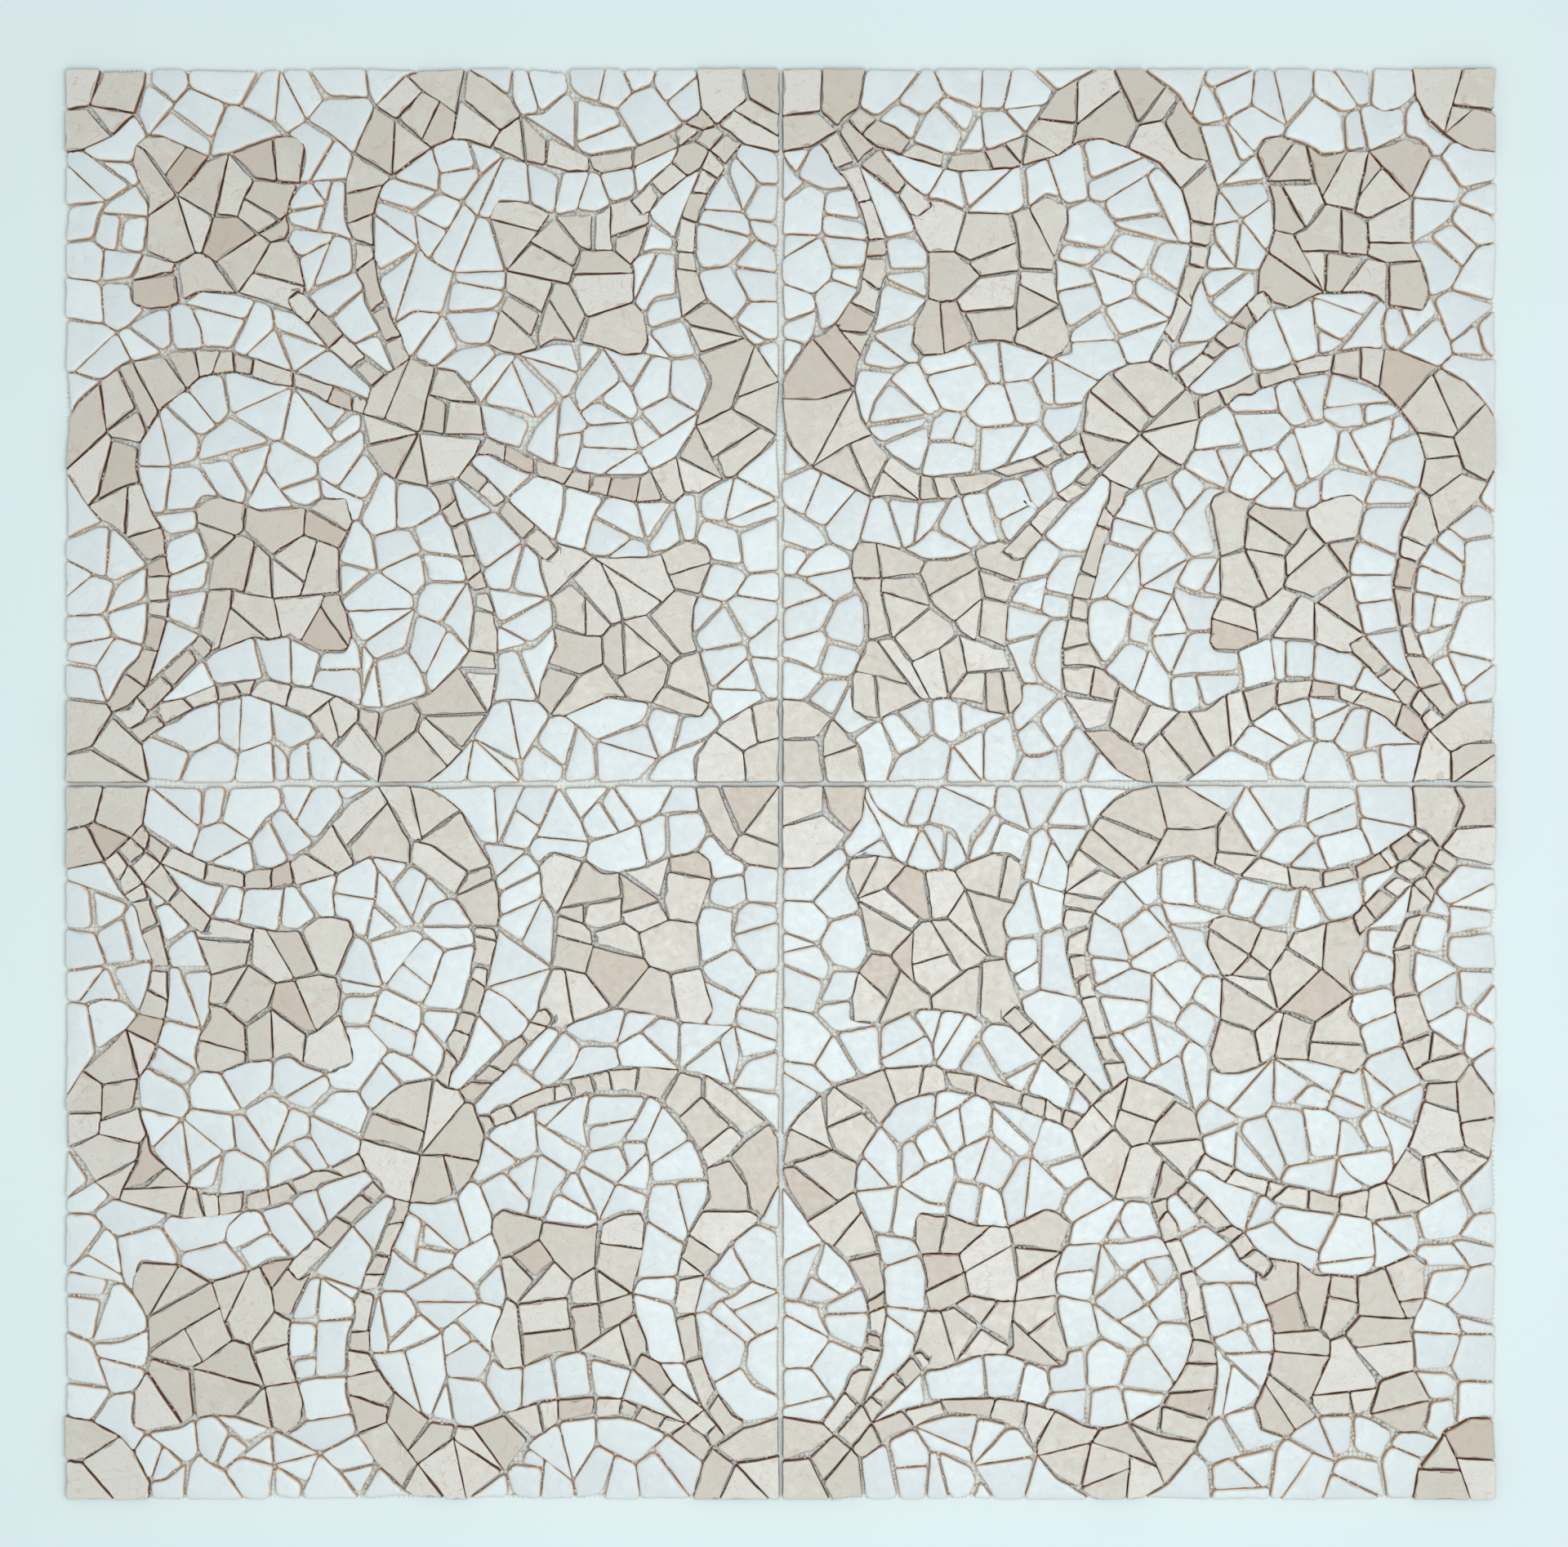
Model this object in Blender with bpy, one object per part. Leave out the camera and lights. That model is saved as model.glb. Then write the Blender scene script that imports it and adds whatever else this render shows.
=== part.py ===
"""Mosaic panel of four net-backed sheets of broken marble, laid edge to edge.

Run it with: blender --background --python part.py
Units are metres and +Z is up. The origin is at the middle of the panel's underside.

Each sheet carries the same pattern, mirrored across the seams. A point of a sheet is given by its distances
from the sheet's corner at the middle of the panel, first along X and then along Y, both away from the middle.
"""

import math
from collections import deque

import bmesh
import bpy
import numpy as np

# Sheets and their layers
SHEET_SIDE = 0.598
SEAM = 0.0022
NET_THICKNESS = 0.0010
STONE_THICKNESS = 0.0095
BED_CLEARANCE = 0.0003
EDGE_CLEARANCE = 0.0003

# Figures and fields stand a joint apart, and the stones inside one are parted by V-shaped grooves
JOINT = 0.0030
GROOVE_WIDTH = 0.0040
GROOVE_DEPTH = 0.0034

# Figures of round or straight outline
MEDALLION_RADIUS = 0.051
QUARTER_RADIUS = 0.070
STEM_WIDTH = 0.0155

# Ground between the far tip of a flower and the round that it points at
ROSETTE_FLOWER_LANE = 0.0155
SPRAY_FLOWER_LANE = 0.0363

# Stones, from joint to joint, and the share of that size within which no second stone starts
FIELD_STONE = 0.100
FLOWER_STONE = 0.074
MEDALLION_STONE = 0.056
BAND_STONE = 0.078
CLEAR_SHARE = 0.86
EVENING_ROUNDS = 3
EVENING_SHARE = 0.8
NARROWEST_FIELD = 0.010

# Free forms, as shares of the sheet's side
# A scroll's middle line runs from the medallion by the edge X = 0 to the corner (0, 1), with its width
SCROLL_SHARES = (
    (0.470, 0.490, 0.024),
    (0.426, 0.478, 0.024),
    (0.335, 0.440, 0.023),
    (0.246, 0.415, 0.027),
    (0.178, 0.414, 0.042),
    (0.105, 0.450, 0.080),
    (0.053, 0.515, 0.108),
    (0.062, 0.585, 0.080),
    (0.110, 0.650, 0.046),
    (0.132, 0.730, 0.026),
    (0.121, 0.805, 0.023),
    (0.087, 0.870, 0.027),
    (0.030, 0.950, 0.028),
)
# Flowers, from the middle to a tip and to the waist between two tips
ROSETTE_FLOWER_SHARES = (0.162, 0.098)
SPRAY_FLOWER_SHARES = (0.147, 0.090)
# How far a stem runs under its flower, as a share of the flower's middle to its tip
STEM_LAP_SHARE = 0.1
# One point in each of a kind of field, from which the field is filled
CORNER_FIELD_SHARES = (0.03, 0.20)
SPRAY_FIELD_SHARES = (0.56, 0.33)
MARGIN_SHARES = (0.02, 0.72)

# Grid that the pattern is drawn on, how far a stone's straight side may cut a curve, and its least length
CELL = 0.001
TRACE_TOLERANCE = 0.0070
SHORTEST_SIDE = 0.0130

# Two sides that turn by less than this sine count as one line, and a groove narrows in these steps to fit
STRAIGHT_SINE = 0.15
NARROWING = (1.0, 0.7, 0.45, 0.25)

SHEETS = {"ne": (1, 1, 11), "nw": (-1, 1, 23), "se": (1, -1, 37), "sw": (-1, -1, 41)}

WHITE_MARBLE = ("white_marble", (0.78, 0.81, 0.83), 0.45)
BEIGE_MARBLE = ("beige_marble", (0.62, 0.54, 0.46), 0.35)
FIBREGLASS_NET = ("fibreglass_net", (0.80, 0.80, 0.78), 0.85)

NOTHING = -1
STEPS = ((0, 1), (1, 0), (0, -1), (-1, 0))

# Figures of one sheet and the node that each belongs to
FIGURE_NODES = {
    "medallion": "rosette",
    "inner_flower": "rosette",
    "inner_stem": "rosette",
    "outer_flower": "rosette",
    "outer_stem": "rosette",
    "side_flower": "side_spray",
    "side_stem": "side_spray",
    "side_quarter": "side_spray",
    "inner_side_scroll": "side_spray",
    "outer_side_scroll": "side_spray",
    "end_flower": "end_spray",
    "end_stem": "end_spray",
    "end_quarter": "end_spray",
    "inner_end_scroll": "end_spray",
    "outer_end_scroll": "end_spray",
    "inner_quarter": "inner_quarter",
    "outer_quarter": "outer_quarter",
    "inner_field": "inner_field",
    "outer_field": "outer_field",
    "side_field": "side_field",
    "end_field": "end_field",
    "inner_side_margin": "inner_side_margin",
    "outer_side_margin": "outer_side_margin",
    "inner_end_margin": "inner_end_margin",
    "outer_end_margin": "outer_end_margin",
}
FIGURES = tuple(FIGURE_NODES)
NODES = tuple(dict.fromkeys(FIGURE_NODES.values()))


def clear_scene():
    """Remove every object of the open file."""
    for item in list(bpy.data.objects):
        bpy.data.objects.remove(item, do_unlink=True)


def make_material(name, colour, roughness):
    """Return a plain Principled material."""
    material = bpy.data.materials.new(name)
    material.use_nodes = True
    shader = material.node_tree.nodes["Principled BSDF"]
    shader.inputs["Base Color"].default_value = (*colour, 1.0)
    shader.inputs["Roughness"].default_value = roughness
    shader.inputs["Metallic"].default_value = 0.0
    return material


def smooth_line(points, per_span=10):
    """Return a smooth curve through the points, a Catmull-Rom spline, as an array."""
    given = np.array(points)
    padded = np.vstack([given[0], given, given[-1]])
    share = np.linspace(0.0, 1.0, per_span, endpoint=False)[:, None]
    spans = []
    for before, start, end, after in zip(padded, padded[1:], padded[2:], padded[3:]):
        slope = end - before
        bend = 2 * before - 5 * start + 4 * end - after
        twist = 3 * start - before - 3 * end + after
        spans.append(start + 0.5 * (slope * share + bend * share ** 2 + twist * share ** 3))
    spans.append(given[-1:])
    return np.vstack(spans)


class Pattern:
    """The figures of one sheet, drawn on a square grid of cells."""

    def __init__(self):
        self.count = round(SHEET_SIDE / CELL)
        self.cell = SHEET_SIDE / self.count
        middles = (np.arange(self.count) + 0.5) * self.cell
        self.across, self.along = np.meshgrid(middles, middles)
        self.figure = np.full((self.count, self.count), NOTHING)
        self.stone_size = {}
        self.draw_scrolls()
        self.draw_flowers()
        self.draw_rounds()
        self.fill_fields()

    def put(self, name, mask, stone_size):
        """Give the cells of a mask to a figure of stones of one size."""
        self.figure[mask] = FIGURES.index(name)
        self.stone_size[name] = stone_size

    def draw_scrolls(self):
        """Draw one scroll as a line of varying width and turn it into the other three."""
        line = smooth_line(SCROLL_SHARES) * SHEET_SIDE
        mask = np.zeros(self.across.shape, dtype=bool)
        for x, y, wide in line:
            mask |= np.hypot(self.across - x, self.along - y) < wide / 2
        self.put("inner_end_scroll", mask, BAND_STONE)
        self.put("inner_side_scroll", mask.T, BAND_STONE)
        self.put("outer_side_scroll", mask[::-1, ::-1], BAND_STONE)
        self.put("outer_end_scroll", mask.T[::-1, ::-1], BAND_STONE)

    def draw_flowers(self):
        """Draw the four flowers and the stems that tie them to a medallion or to a corner."""
        middle = SHEET_SIDE / 2
        rosette = (ROSETTE_FLOWER_SHARES, QUARTER_RADIUS + ROSETTE_FLOWER_LANE)
        spray = (SPRAY_FLOWER_SHARES, MEDALLION_RADIUS + SPRAY_FLOWER_LANE)
        self.draw_flower("inner", (middle, middle), (-1, -1), rosette)
        self.draw_flower("outer", (middle, middle), (1, 1), rosette)
        self.draw_flower("side", (SHEET_SIDE, 0.0), (-1, 1), spray)
        self.draw_flower("end", (0.0, SHEET_SIDE), (1, -1), spray)

    def draw_flower(self, name, root, way, shape):
        """Draw a flower with four lobes, the lobe at its stem's end facing the stem's root."""
        tip, waist = (share * SHEET_SIDE for share in shape[0])
        reach = SHEET_SIDE * math.sqrt(0.5) - shape[1] - tip
        step_x, step_y = (part * math.sqrt(0.5) for part in way)
        forward = (self.across - root[0]) * step_x + (self.along - root[1]) * step_y
        sideways = (self.along - root[1]) * step_x - (self.across - root[0]) * step_y
        turn = np.arctan2(sideways, forward - reach)
        between = tip * waist * math.sqrt(0.5) / ((tip + waist) * math.sin(math.pi / 8))
        mean = (tip + waist) / 4 + between / 2
        sharpness = (tip + waist) / 4 - between / 2
        swing = (tip - waist) / 2
        outline = mean + swing * np.cos(4 * turn) + sharpness * np.cos(8 * turn)
        self.put(f"{name}_flower", np.hypot(forward - reach, sideways) < outline, FLOWER_STONE)
        stem_end = reach - (1 - STEM_LAP_SHARE) * tip
        on_stem = (np.abs(sideways) < STEM_WIDTH / 2) & (forward > 0) & (forward < stem_end)
        self.put(f"{name}_stem", on_stem, BAND_STONE)

    def draw_rounds(self):
        """Draw the centre medallion and the quarter medallions at the corners."""
        middle = SHEET_SIDE / 2
        rounds = (
            ("medallion", middle, middle, MEDALLION_RADIUS, MEDALLION_STONE),
            ("inner_quarter", 0.0, 0.0, QUARTER_RADIUS, MEDALLION_STONE),
            ("outer_quarter", SHEET_SIDE, SHEET_SIDE, QUARTER_RADIUS, MEDALLION_STONE),
            ("side_quarter", SHEET_SIDE, 0.0, QUARTER_RADIUS, MEDALLION_STONE),
            ("end_quarter", 0.0, SHEET_SIDE, QUARTER_RADIUS, MEDALLION_STONE),
        )
        for name, x, y, radius, size in rounds:
            self.put(name, np.hypot(self.across - x, self.along - y) < radius, size)

    def fill_fields(self):
        """Fill what is left with the white fields, without slivers too narrow for a stone."""
        reach = round(NARROWEST_FIELD / 2 / self.cell)
        free = widen(~widen(self.figure != NOTHING, reach), reach) & (self.figure == NOTHING)
        seeds = {
            "inner_field": CORNER_FIELD_SHARES,
            "outer_field": opposite(CORNER_FIELD_SHARES),
            "side_field": SPRAY_FIELD_SHARES,
            "end_field": SPRAY_FIELD_SHARES[::-1],
            "inner_end_margin": MARGIN_SHARES,
            "inner_side_margin": MARGIN_SHARES[::-1],
            "outer_side_margin": opposite(MARGIN_SHARES),
            "outer_end_margin": opposite(MARGIN_SHARES[::-1]),
        }
        for name, (x, y) in seeds.items():
            start = (int(y * self.count), int(x * self.count))
            self.put(name, flood(free, start), FIELD_STONE)


def opposite(point):
    """Return the point across the sheet's middle, in shares of the side."""
    return (1 - point[0], 1 - point[1])


def shifted(grid, step, fill):
    """Return a grid moved by one cell."""
    rows, columns = step
    padded = np.pad(grid, 1, constant_values=fill)
    height, width = grid.shape
    return padded[1 - rows:1 - rows + height, 1 - columns:1 - columns + width]


def widen(mask, reach):
    """Return a mask grown by a disc of the given radius in cells."""
    height, width = mask.shape
    padded = np.pad(mask, reach)
    grown = np.zeros_like(mask)
    for rows in range(-reach, reach + 1):
        columns = int(math.sqrt(reach ** 2 - rows ** 2))
        for column in range(-columns, columns + 1):
            top = reach + rows
            left = reach + column
            grown |= padded[top:top + height, left:left + width]
    return grown


def flood(free, start):
    """Return the part of a mask that is joined to its start cell."""
    found = np.zeros_like(free)
    queue = deque([start])
    found[start] = free[start]
    height, width = free.shape
    while queue:
        row, column = queue.popleft()
        for rows, columns in STEPS:
            r = row + rows
            c = column + columns
            if 0 <= r < height and 0 <= c < width and free[r, c] and not found[r, c]:
                found[r, c] = True
                queue.append((r, c))
    return found


def nearest_site(points, sites):
    """Return for each point the number of its nearest site."""
    apart = ((points[:, None, :] - sites[None, :, :]) ** 2).sum(axis=2)
    return apart.argmin(axis=1)


def place_sites(points, size, chance):
    """Throw stones on the points of a figure, each clear of the stones before it, and even them out."""
    sites = []
    left = chance.permutation(points)
    while len(left):
        sites.append(left[0])
        left = left[np.hypot(*(left - left[0]).T) > CLEAR_SHARE * size]
    sites = np.array(sites)
    for _ in range(EVENING_ROUNDS):
        owner = nearest_site(points, sites)
        for number in range(len(sites)):
            own = points[owner == number]
            if len(own):
                sites[number] += EVENING_SHARE * (own.mean(axis=0) - sites[number])
    return sites


def break_stones(pattern, chance):
    """Break each figure into stones and return the grid of stone numbers and each stone's figure."""
    stones = np.full(pattern.figure.shape, NOTHING)
    figures = []
    for figure in range(len(FIGURES)):
        mask = pattern.figure == figure
        points = np.column_stack([pattern.across[mask], pattern.along[mask]])
        sites = place_sites(points, pattern.stone_size[FIGURES[figure]], chance)
        stones[mask] = nearest_site(points, sites) + len(figures)
        figures.extend([figure] * len(sites))
    return join_patches(stones, pattern, len(figures)), figures


def join_patches(stones, pattern, total):
    """Give each stray patch of a stone to a stone of the same figure beside it."""
    joined = np.full_like(stones, NOTHING)
    for number in range(total):
        rows, columns = np.nonzero(stones == number)
        first = np.hypot(rows - rows.mean(), columns - columns.mean()).argmin()
        joined[rows[first], columns[first]] = number
    for same_stone in (True, False):
        changed = True
        while changed:
            changed = False
            for step in STEPS:
                beside = shifted(joined, step, NOTHING)
                allowed = shifted(stones if same_stone else pattern.figure, step, NOTHING)
                own = stones if same_stone else pattern.figure
                take = (joined == NOTHING) & (beside != NOTHING) & (own != NOTHING) & (allowed == own)
                joined[take] = beside[take]
                changed = changed or bool(take.any())
    return joined


def trace_outline(mask):
    """Return the corners of a patch's outline, counter-clockwise, with the cell outside each side."""
    padded = np.pad(mask, 1)
    sides = (
        ((0, 0), (0, 1), (-1, 0)),
        ((0, 1), (1, 1), (0, 1)),
        ((1, 1), (1, 0), (1, 0)),
        ((1, 0), (0, 0), (0, -1)),
    )
    leaving = {}
    for start, end, outside in sides:
        beside = shifted(padded, (-outside[0], -outside[1]), False)
        rows, columns = np.nonzero(padded & ~beside)
        for row, column in zip(rows.tolist(), columns.tolist()):
            begin = (row + start[0] - 1, column + start[1] - 1)
            stop = (row + end[0] - 1, column + end[1] - 1)
            cell = (row + outside[0] - 1, column + outside[1] - 1)
            leaving.setdefault(begin, []).append((stop, cell))
    loops = []
    while leaving:
        corner = next(iter(leaving))
        loop = []
        heading = (0, 1)
        while corner in leaving:
            choices = leaving[corner]
            left_turn = (corner[0] + heading[1], corner[1] - heading[0])
            picked = next((choice for choice in choices if choice[0] == left_turn), choices[0])
            choices.remove(picked)
            if not choices:
                del leaving[corner]
            loop.append((corner, picked[1]))
            heading = (picked[0][0] - corner[0], picked[0][1] - corner[1])
            corner = picked[0]
        loops.append(loop)
    return max(loops, key=len)


def needed_corners(run, cell):
    """Return the corners inside a run of an outline that it needs to keep its shape, the same both ways."""
    if run[0] > run[-1]:
        return needed_corners(run[::-1], cell)[::-1]
    corners = np.array(run, dtype=float) * cell
    chord = corners[-1] - corners[0]
    length = math.hypot(*chord)
    if len(run) < 3 or length == 0:
        return []
    apart = corners - corners[0]
    off = np.abs(chord[0] * apart[:, 1] - chord[1] * apart[:, 0]) / length
    worst = int(off.argmax())
    if off[worst] < TRACE_TOLERANCE:
        return []
    return needed_corners(run[:worst + 1], cell) + [run[worst]] + needed_corners(run[worst:], cell)


def sides_of(ring):
    """Return the sides of a ring, each as its two corners."""
    return list(zip(ring, ring[1:] + ring[:1]))


class Network:
    """The joints of a sheet: the corners where stones meet and the ring of corners round each stone."""

    def __init__(self, stones, stone_nodes, cell):
        self.stones = stones
        self.stone_nodes = stone_nodes
        self.cell = cell
        self.side = stones.shape[0] * cell
        self.rings = {}
        self.rims = {}
        for number in range(len(stone_nodes)):
            self.rings[number] = self.trace_ring(number)
        keys = {key for ring in self.rings.values() for key in ring}
        self.place = {key: np.array(key[::-1], dtype=float) * cell for key in keys}
        self.merge_close_corners()

    def owner(self, cell):
        """Return the stone of a cell."""
        size = self.stones.shape[0]
        return int(self.stones[cell]) if 0 <= cell[0] < size and 0 <= cell[1] < size else NOTHING

    def trace_ring(self, number):
        """Return the corners where the neighbour of a stone changes, and those that its sides need."""
        outline = trace_outline(self.stones == number)
        beside = [self.owner(cell) for _, cell in outline]
        changes = [i for i in range(len(outline)) if beside[i] != beside[i - 1]]
        ring = []
        for here, after in zip(changes, changes[1:] + [changes[0] + len(outline)]):
            run = [outline[i % len(outline)][0] for i in range(here, after + 1)]
            needed = [run[0]] + needed_corners(run, self.cell)
            if beside[here] == NOTHING or self.stone_nodes[beside[here]] != self.stone_nodes[number]:
                for key in needed + [run[-1]]:
                    self.rims.setdefault(key, set()).add(self.stone_nodes[number])
            ring += needed
        return ring

    def edge_count(self, key):
        """Tell on how many edges of the sheet a corner lies."""
        return sum(part in (0, self.stones.shape[0]) for part in key)

    def merge_close_corners(self):
        """Join corners that are nearer to each other than the shortest side of a stone."""
        leader = {key: key for key in self.place}

        def lead(key):
            while leader[key] != key:
                key = leader[key]
            return key

        sides = {}
        for number, ring in self.rings.items():
            for side in sides_of(ring):
                sides[side] = self.stone_nodes[number]
        lengths = {side: math.dist(self.place[side[0]], self.place[side[1]]) for side in sides}
        for here, after in sorted(sides, key=lambda side: (lengths[side], side)):
            kept, lost = sorted((lead(here), lead(after)), key=self.edge_count, reverse=True)
            node = sides[(here, after)]
            on_rim = all(node in self.rims.get(key, ()) for key in (kept, lost))
            cuts_node = on_rim and sides.get((after, here)) == node
            near = math.dist(self.place[kept], self.place[lost]) < SHORTEST_SIDE
            if kept == lost or cuts_node or not near or self.edge_count(lost) == 2:
                continue
            if self.edge_count(kept) == self.edge_count(lost):
                self.place[kept] = (self.place[kept] + self.place[lost]) / 2
            self.rims.setdefault(kept, set()).update(self.rims.get(lost, ()))
            leader[lost] = kept
        for number, ring in self.rings.items():
            merged = [lead(key) for key in ring]
            self.rings[number] = [key for i, key in enumerate(merged) if key != merged[i - 1]]

    def on_sheet_edge(self, first, second):
        """Tell whether a side lies on the edge of the sheet."""
        for axis in (0, 1):
            for level in (0.0, self.side):
                if abs(first[axis] - level) < self.cell and abs(second[axis] - level) < self.cell:
                    return True
        return False


def offset_corner(before, corner, after, inset_before, inset_after):
    """Return where the two sides at a corner meet once each has moved inwards, to its left."""
    one = (corner - before) / math.dist(corner, before)
    two = (after - corner) / math.dist(after, corner)
    turn = one[0] * two[1] - one[1] * two[0]
    normal_one = np.array([-one[1], one[0]])
    normal_two = np.array([-two[1], two[0]])
    if abs(turn) < STRAIGHT_SINE:
        middle = normal_one + normal_two
        return corner + middle / math.hypot(*middle) * (inset_before + inset_after) / 2
    start = corner + normal_one * inset_before
    other = corner + normal_two * inset_after
    gap = other - start
    along = (gap[0] * two[1] - gap[1] * two[0]) / turn
    return start + one * along


def inset_ring(points, insets):
    """Return a ring with each side moved inwards, by less where the stone is too small for it."""
    count = len(points)
    for share in NARROWING:
        moved = []
        for i in range(count):
            one = insets[i - 1] * share
            two = insets[i] * share
            moved.append(offset_corner(points[i - 1], points[i], points[(i + 1) % count], one, two))
        pairs = [(i, (i + 1) % count) for i in range(count)]
        if all(np.dot(moved[j] - moved[i], points[j] - points[i]) > 0 for i, j in pairs):
            break
    return moved


class Relief:
    """The mesh of one node: stones with flat tops, grooves between them and a flat foot."""

    def __init__(self, network, node, signs):
        self.network = network
        self.signs = signs
        self.foot_level = NET_THICKNESS + BED_CLEARANCE
        self.top_level = self.foot_level + STONE_THICKNESS
        self.groove_level = self.top_level - GROOVE_DEPTH
        self.rings = {
            number: ring for number, ring in network.rings.items()
            if network.stone_nodes[number] == node and len(ring) > 2
        }
        self.owner = {side: number for number, ring in self.rings.items() for side in sides_of(ring)}
        self.follower = {
            (number, here): after for number, ring in self.rings.items() for here, after in sides_of(ring)
        }
        self.place = {
            (number, key): network.place[key] for number, ring in self.rings.items() for key in ring
        }
        self.rim_after = {}
        self.move_rim()
        self.mesh = bmesh.new()
        self.vertices = {}
        for number, ring in self.rings.items():
            self.add_stone(number, ring)
        self.add_foot()

    def is_free(self, here, after):
        """Tell whether no stone of the node lies across a side."""
        return (after, here) not in self.owner

    def move_rim(self):
        """Move the rim inwards by half a joint, or by the clearance where it is the sheet's edge."""
        for (before, corner), first in self.owner.items():
            if not self.is_free(before, corner):
                continue
            fan = [first]
            after = self.follower[(first, corner)]
            while not self.is_free(corner, after):
                fan.append(self.owner[(after, corner)])
                after = self.follower[(fan[-1], corner)]
            points = [self.network.place[key] for key in (before, corner, after)]
            at_edge = [self.network.on_sheet_edge(points[i], points[i + 1]) for i in (0, 1)]
            moved = offset_corner(*points, *(EDGE_CLEARANCE if edge else JOINT / 2 for edge in at_edge))
            for number in fan:
                self.place[(number, corner)] = moved
            self.rim_after[(before, corner)] = (corner, after)

    def vertex(self, point, level):
        """Return the mesh vertex at a place, made once."""
        key = (round(float(point[0]), 7), round(float(point[1]), 7), level)
        if key not in self.vertices:
            x = self.signs[0] * float(point[0])
            y = self.signs[1] * float(point[1])
            self.vertices[key] = self.mesh.verts.new((x, y, level))
        return self.vertices[key]

    def face(self, vertices):
        """Add a face, once repeated corners are left out."""
        kept = [vertex for i, vertex in enumerate(vertices) if vertex is not vertices[i - 1]]
        if self.signs[0] * self.signs[1] < 0:
            kept.reverse()
        if len(kept) > 2:
            self.mesh.faces.new(kept)

    def add_stone(self, number, ring):
        """Add a stone's top, the slopes of its grooves and its free walls."""
        count = len(ring)
        points = [self.place[(number, key)] for key in ring]
        free = [self.is_free(here, after) for here, after in sides_of(ring)]
        top = inset_ring(points, [0.0 if alone else GROOVE_WIDTH / 2 for alone in free])
        self.face([self.vertex(point, self.top_level) for point in top])
        for i in range(count):
            j = (i + 1) % count
            wall = [self.vertex(points[k], self.foot_level) for k in (i, j)] if free[i] else []
            if not (free[i] and free[j]):
                wall.append(self.vertex(points[j], self.groove_level))
            wall += [self.vertex(top[k], self.top_level) for k in (j, i)]
            if not (free[i] and free[i - 1]):
                wall.append(self.vertex(points[i], self.groove_level))
            self.face(wall)

    def add_foot(self):
        """Close the underside."""
        start = next(iter(self.rim_after))
        loop = [start]
        while self.rim_after[loop[-1]] != start:
            loop.append(self.rim_after[loop[-1]])
        if len(loop) != len(self.rim_after):
            raise ValueError("a node falls into separate patches")
        feet = [self.place[(self.owner[side], side[0])] for side in reversed(loop)]
        self.face([self.vertex(point, self.foot_level) for point in feet])

    def finish(self, name):
        """Return the relief as a mesh datablock."""
        bmesh.ops.triangulate(self.mesh, faces=self.mesh.faces[:], ngon_method="EAR_CLIP")
        data = bpy.data.meshes.new(name)
        self.mesh.to_mesh(data)
        self.mesh.free()
        return data


def make_net(name, signs, parent, material, collection):
    """Add the net of a sheet, with the adhesive that fills it, as a thin slab."""
    bpy.ops.mesh.primitive_cube_add(size=1.0)
    net = bpy.context.object
    net.name = name
    net.dimensions = (SHEET_SIDE, SHEET_SIDE, NET_THICKNESS)
    bpy.ops.object.transform_apply(location=False, rotation=False, scale=True)
    net.parent = parent
    net.location = (signs[0] * SHEET_SIDE / 2, signs[1] * SHEET_SIDE / 2, NET_THICKNESS / 2)
    net.data.materials.append(material)
    for other in list(net.users_collection):
        other.objects.unlink(net)
    collection.objects.link(net)


def make_sheet(sheet, pattern, materials, collection):
    """Add one sheet: its net, its figures and its fields."""
    sign_x, sign_y, seed = SHEETS[sheet]
    signs = (sign_x, sign_y)
    corner = bpy.data.objects.new(f"{sheet}_sheet", None)
    corner.location = (sign_x * SEAM / 2, sign_y * SEAM / 2, 0.0)
    collection.objects.link(corner)
    make_net(f"{sheet}_net", signs, corner, materials["net"], collection)
    stones, figures = break_stones(pattern, np.random.default_rng(seed))
    stone_nodes = [FIGURE_NODES[FIGURES[figure]] for figure in figures]
    network = Network(stones, stone_nodes, pattern.cell)
    for node in NODES:
        relief = Relief(network, node, signs)
        name = f"{sheet}_{node}"
        piece = bpy.data.objects.new(name, relief.finish(name))
        white = node.endswith("field") or node.endswith("margin")
        piece.data.materials.append(materials["white" if white else "beige"])
        piece.parent = corner
        collection.objects.link(piece)


def main():
    """Build the whole panel."""
    clear_scene()
    collection = bpy.data.collections.new("mosaic_panel")
    bpy.context.scene.collection.children.link(collection)
    materials = {
        "white": make_material(*WHITE_MARBLE),
        "beige": make_material(*BEIGE_MARBLE),
        "net": make_material(*FIBREGLASS_NET),
    }
    pattern = Pattern()
    for sheet in SHEETS:
        make_sheet(sheet, pattern, materials, collection)


main()
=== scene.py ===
"""Looks of a square panel of broken marble mosaic, made of four net-backed sheets laid edge to edge.

Units are metres and +Z is up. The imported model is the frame, and the pieces here stand for its nodes.
Each sheet carries the same pattern, mirrored across the seams. A point of a sheet is given by its distances
from the sheet's corner at the middle of the panel, first along X and then along Y, both away from the middle.
"""

import logging
import math
from collections.abc import Iterator, Mapping, Sequence
from dataclasses import dataclass, field
from enum import Enum

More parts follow.
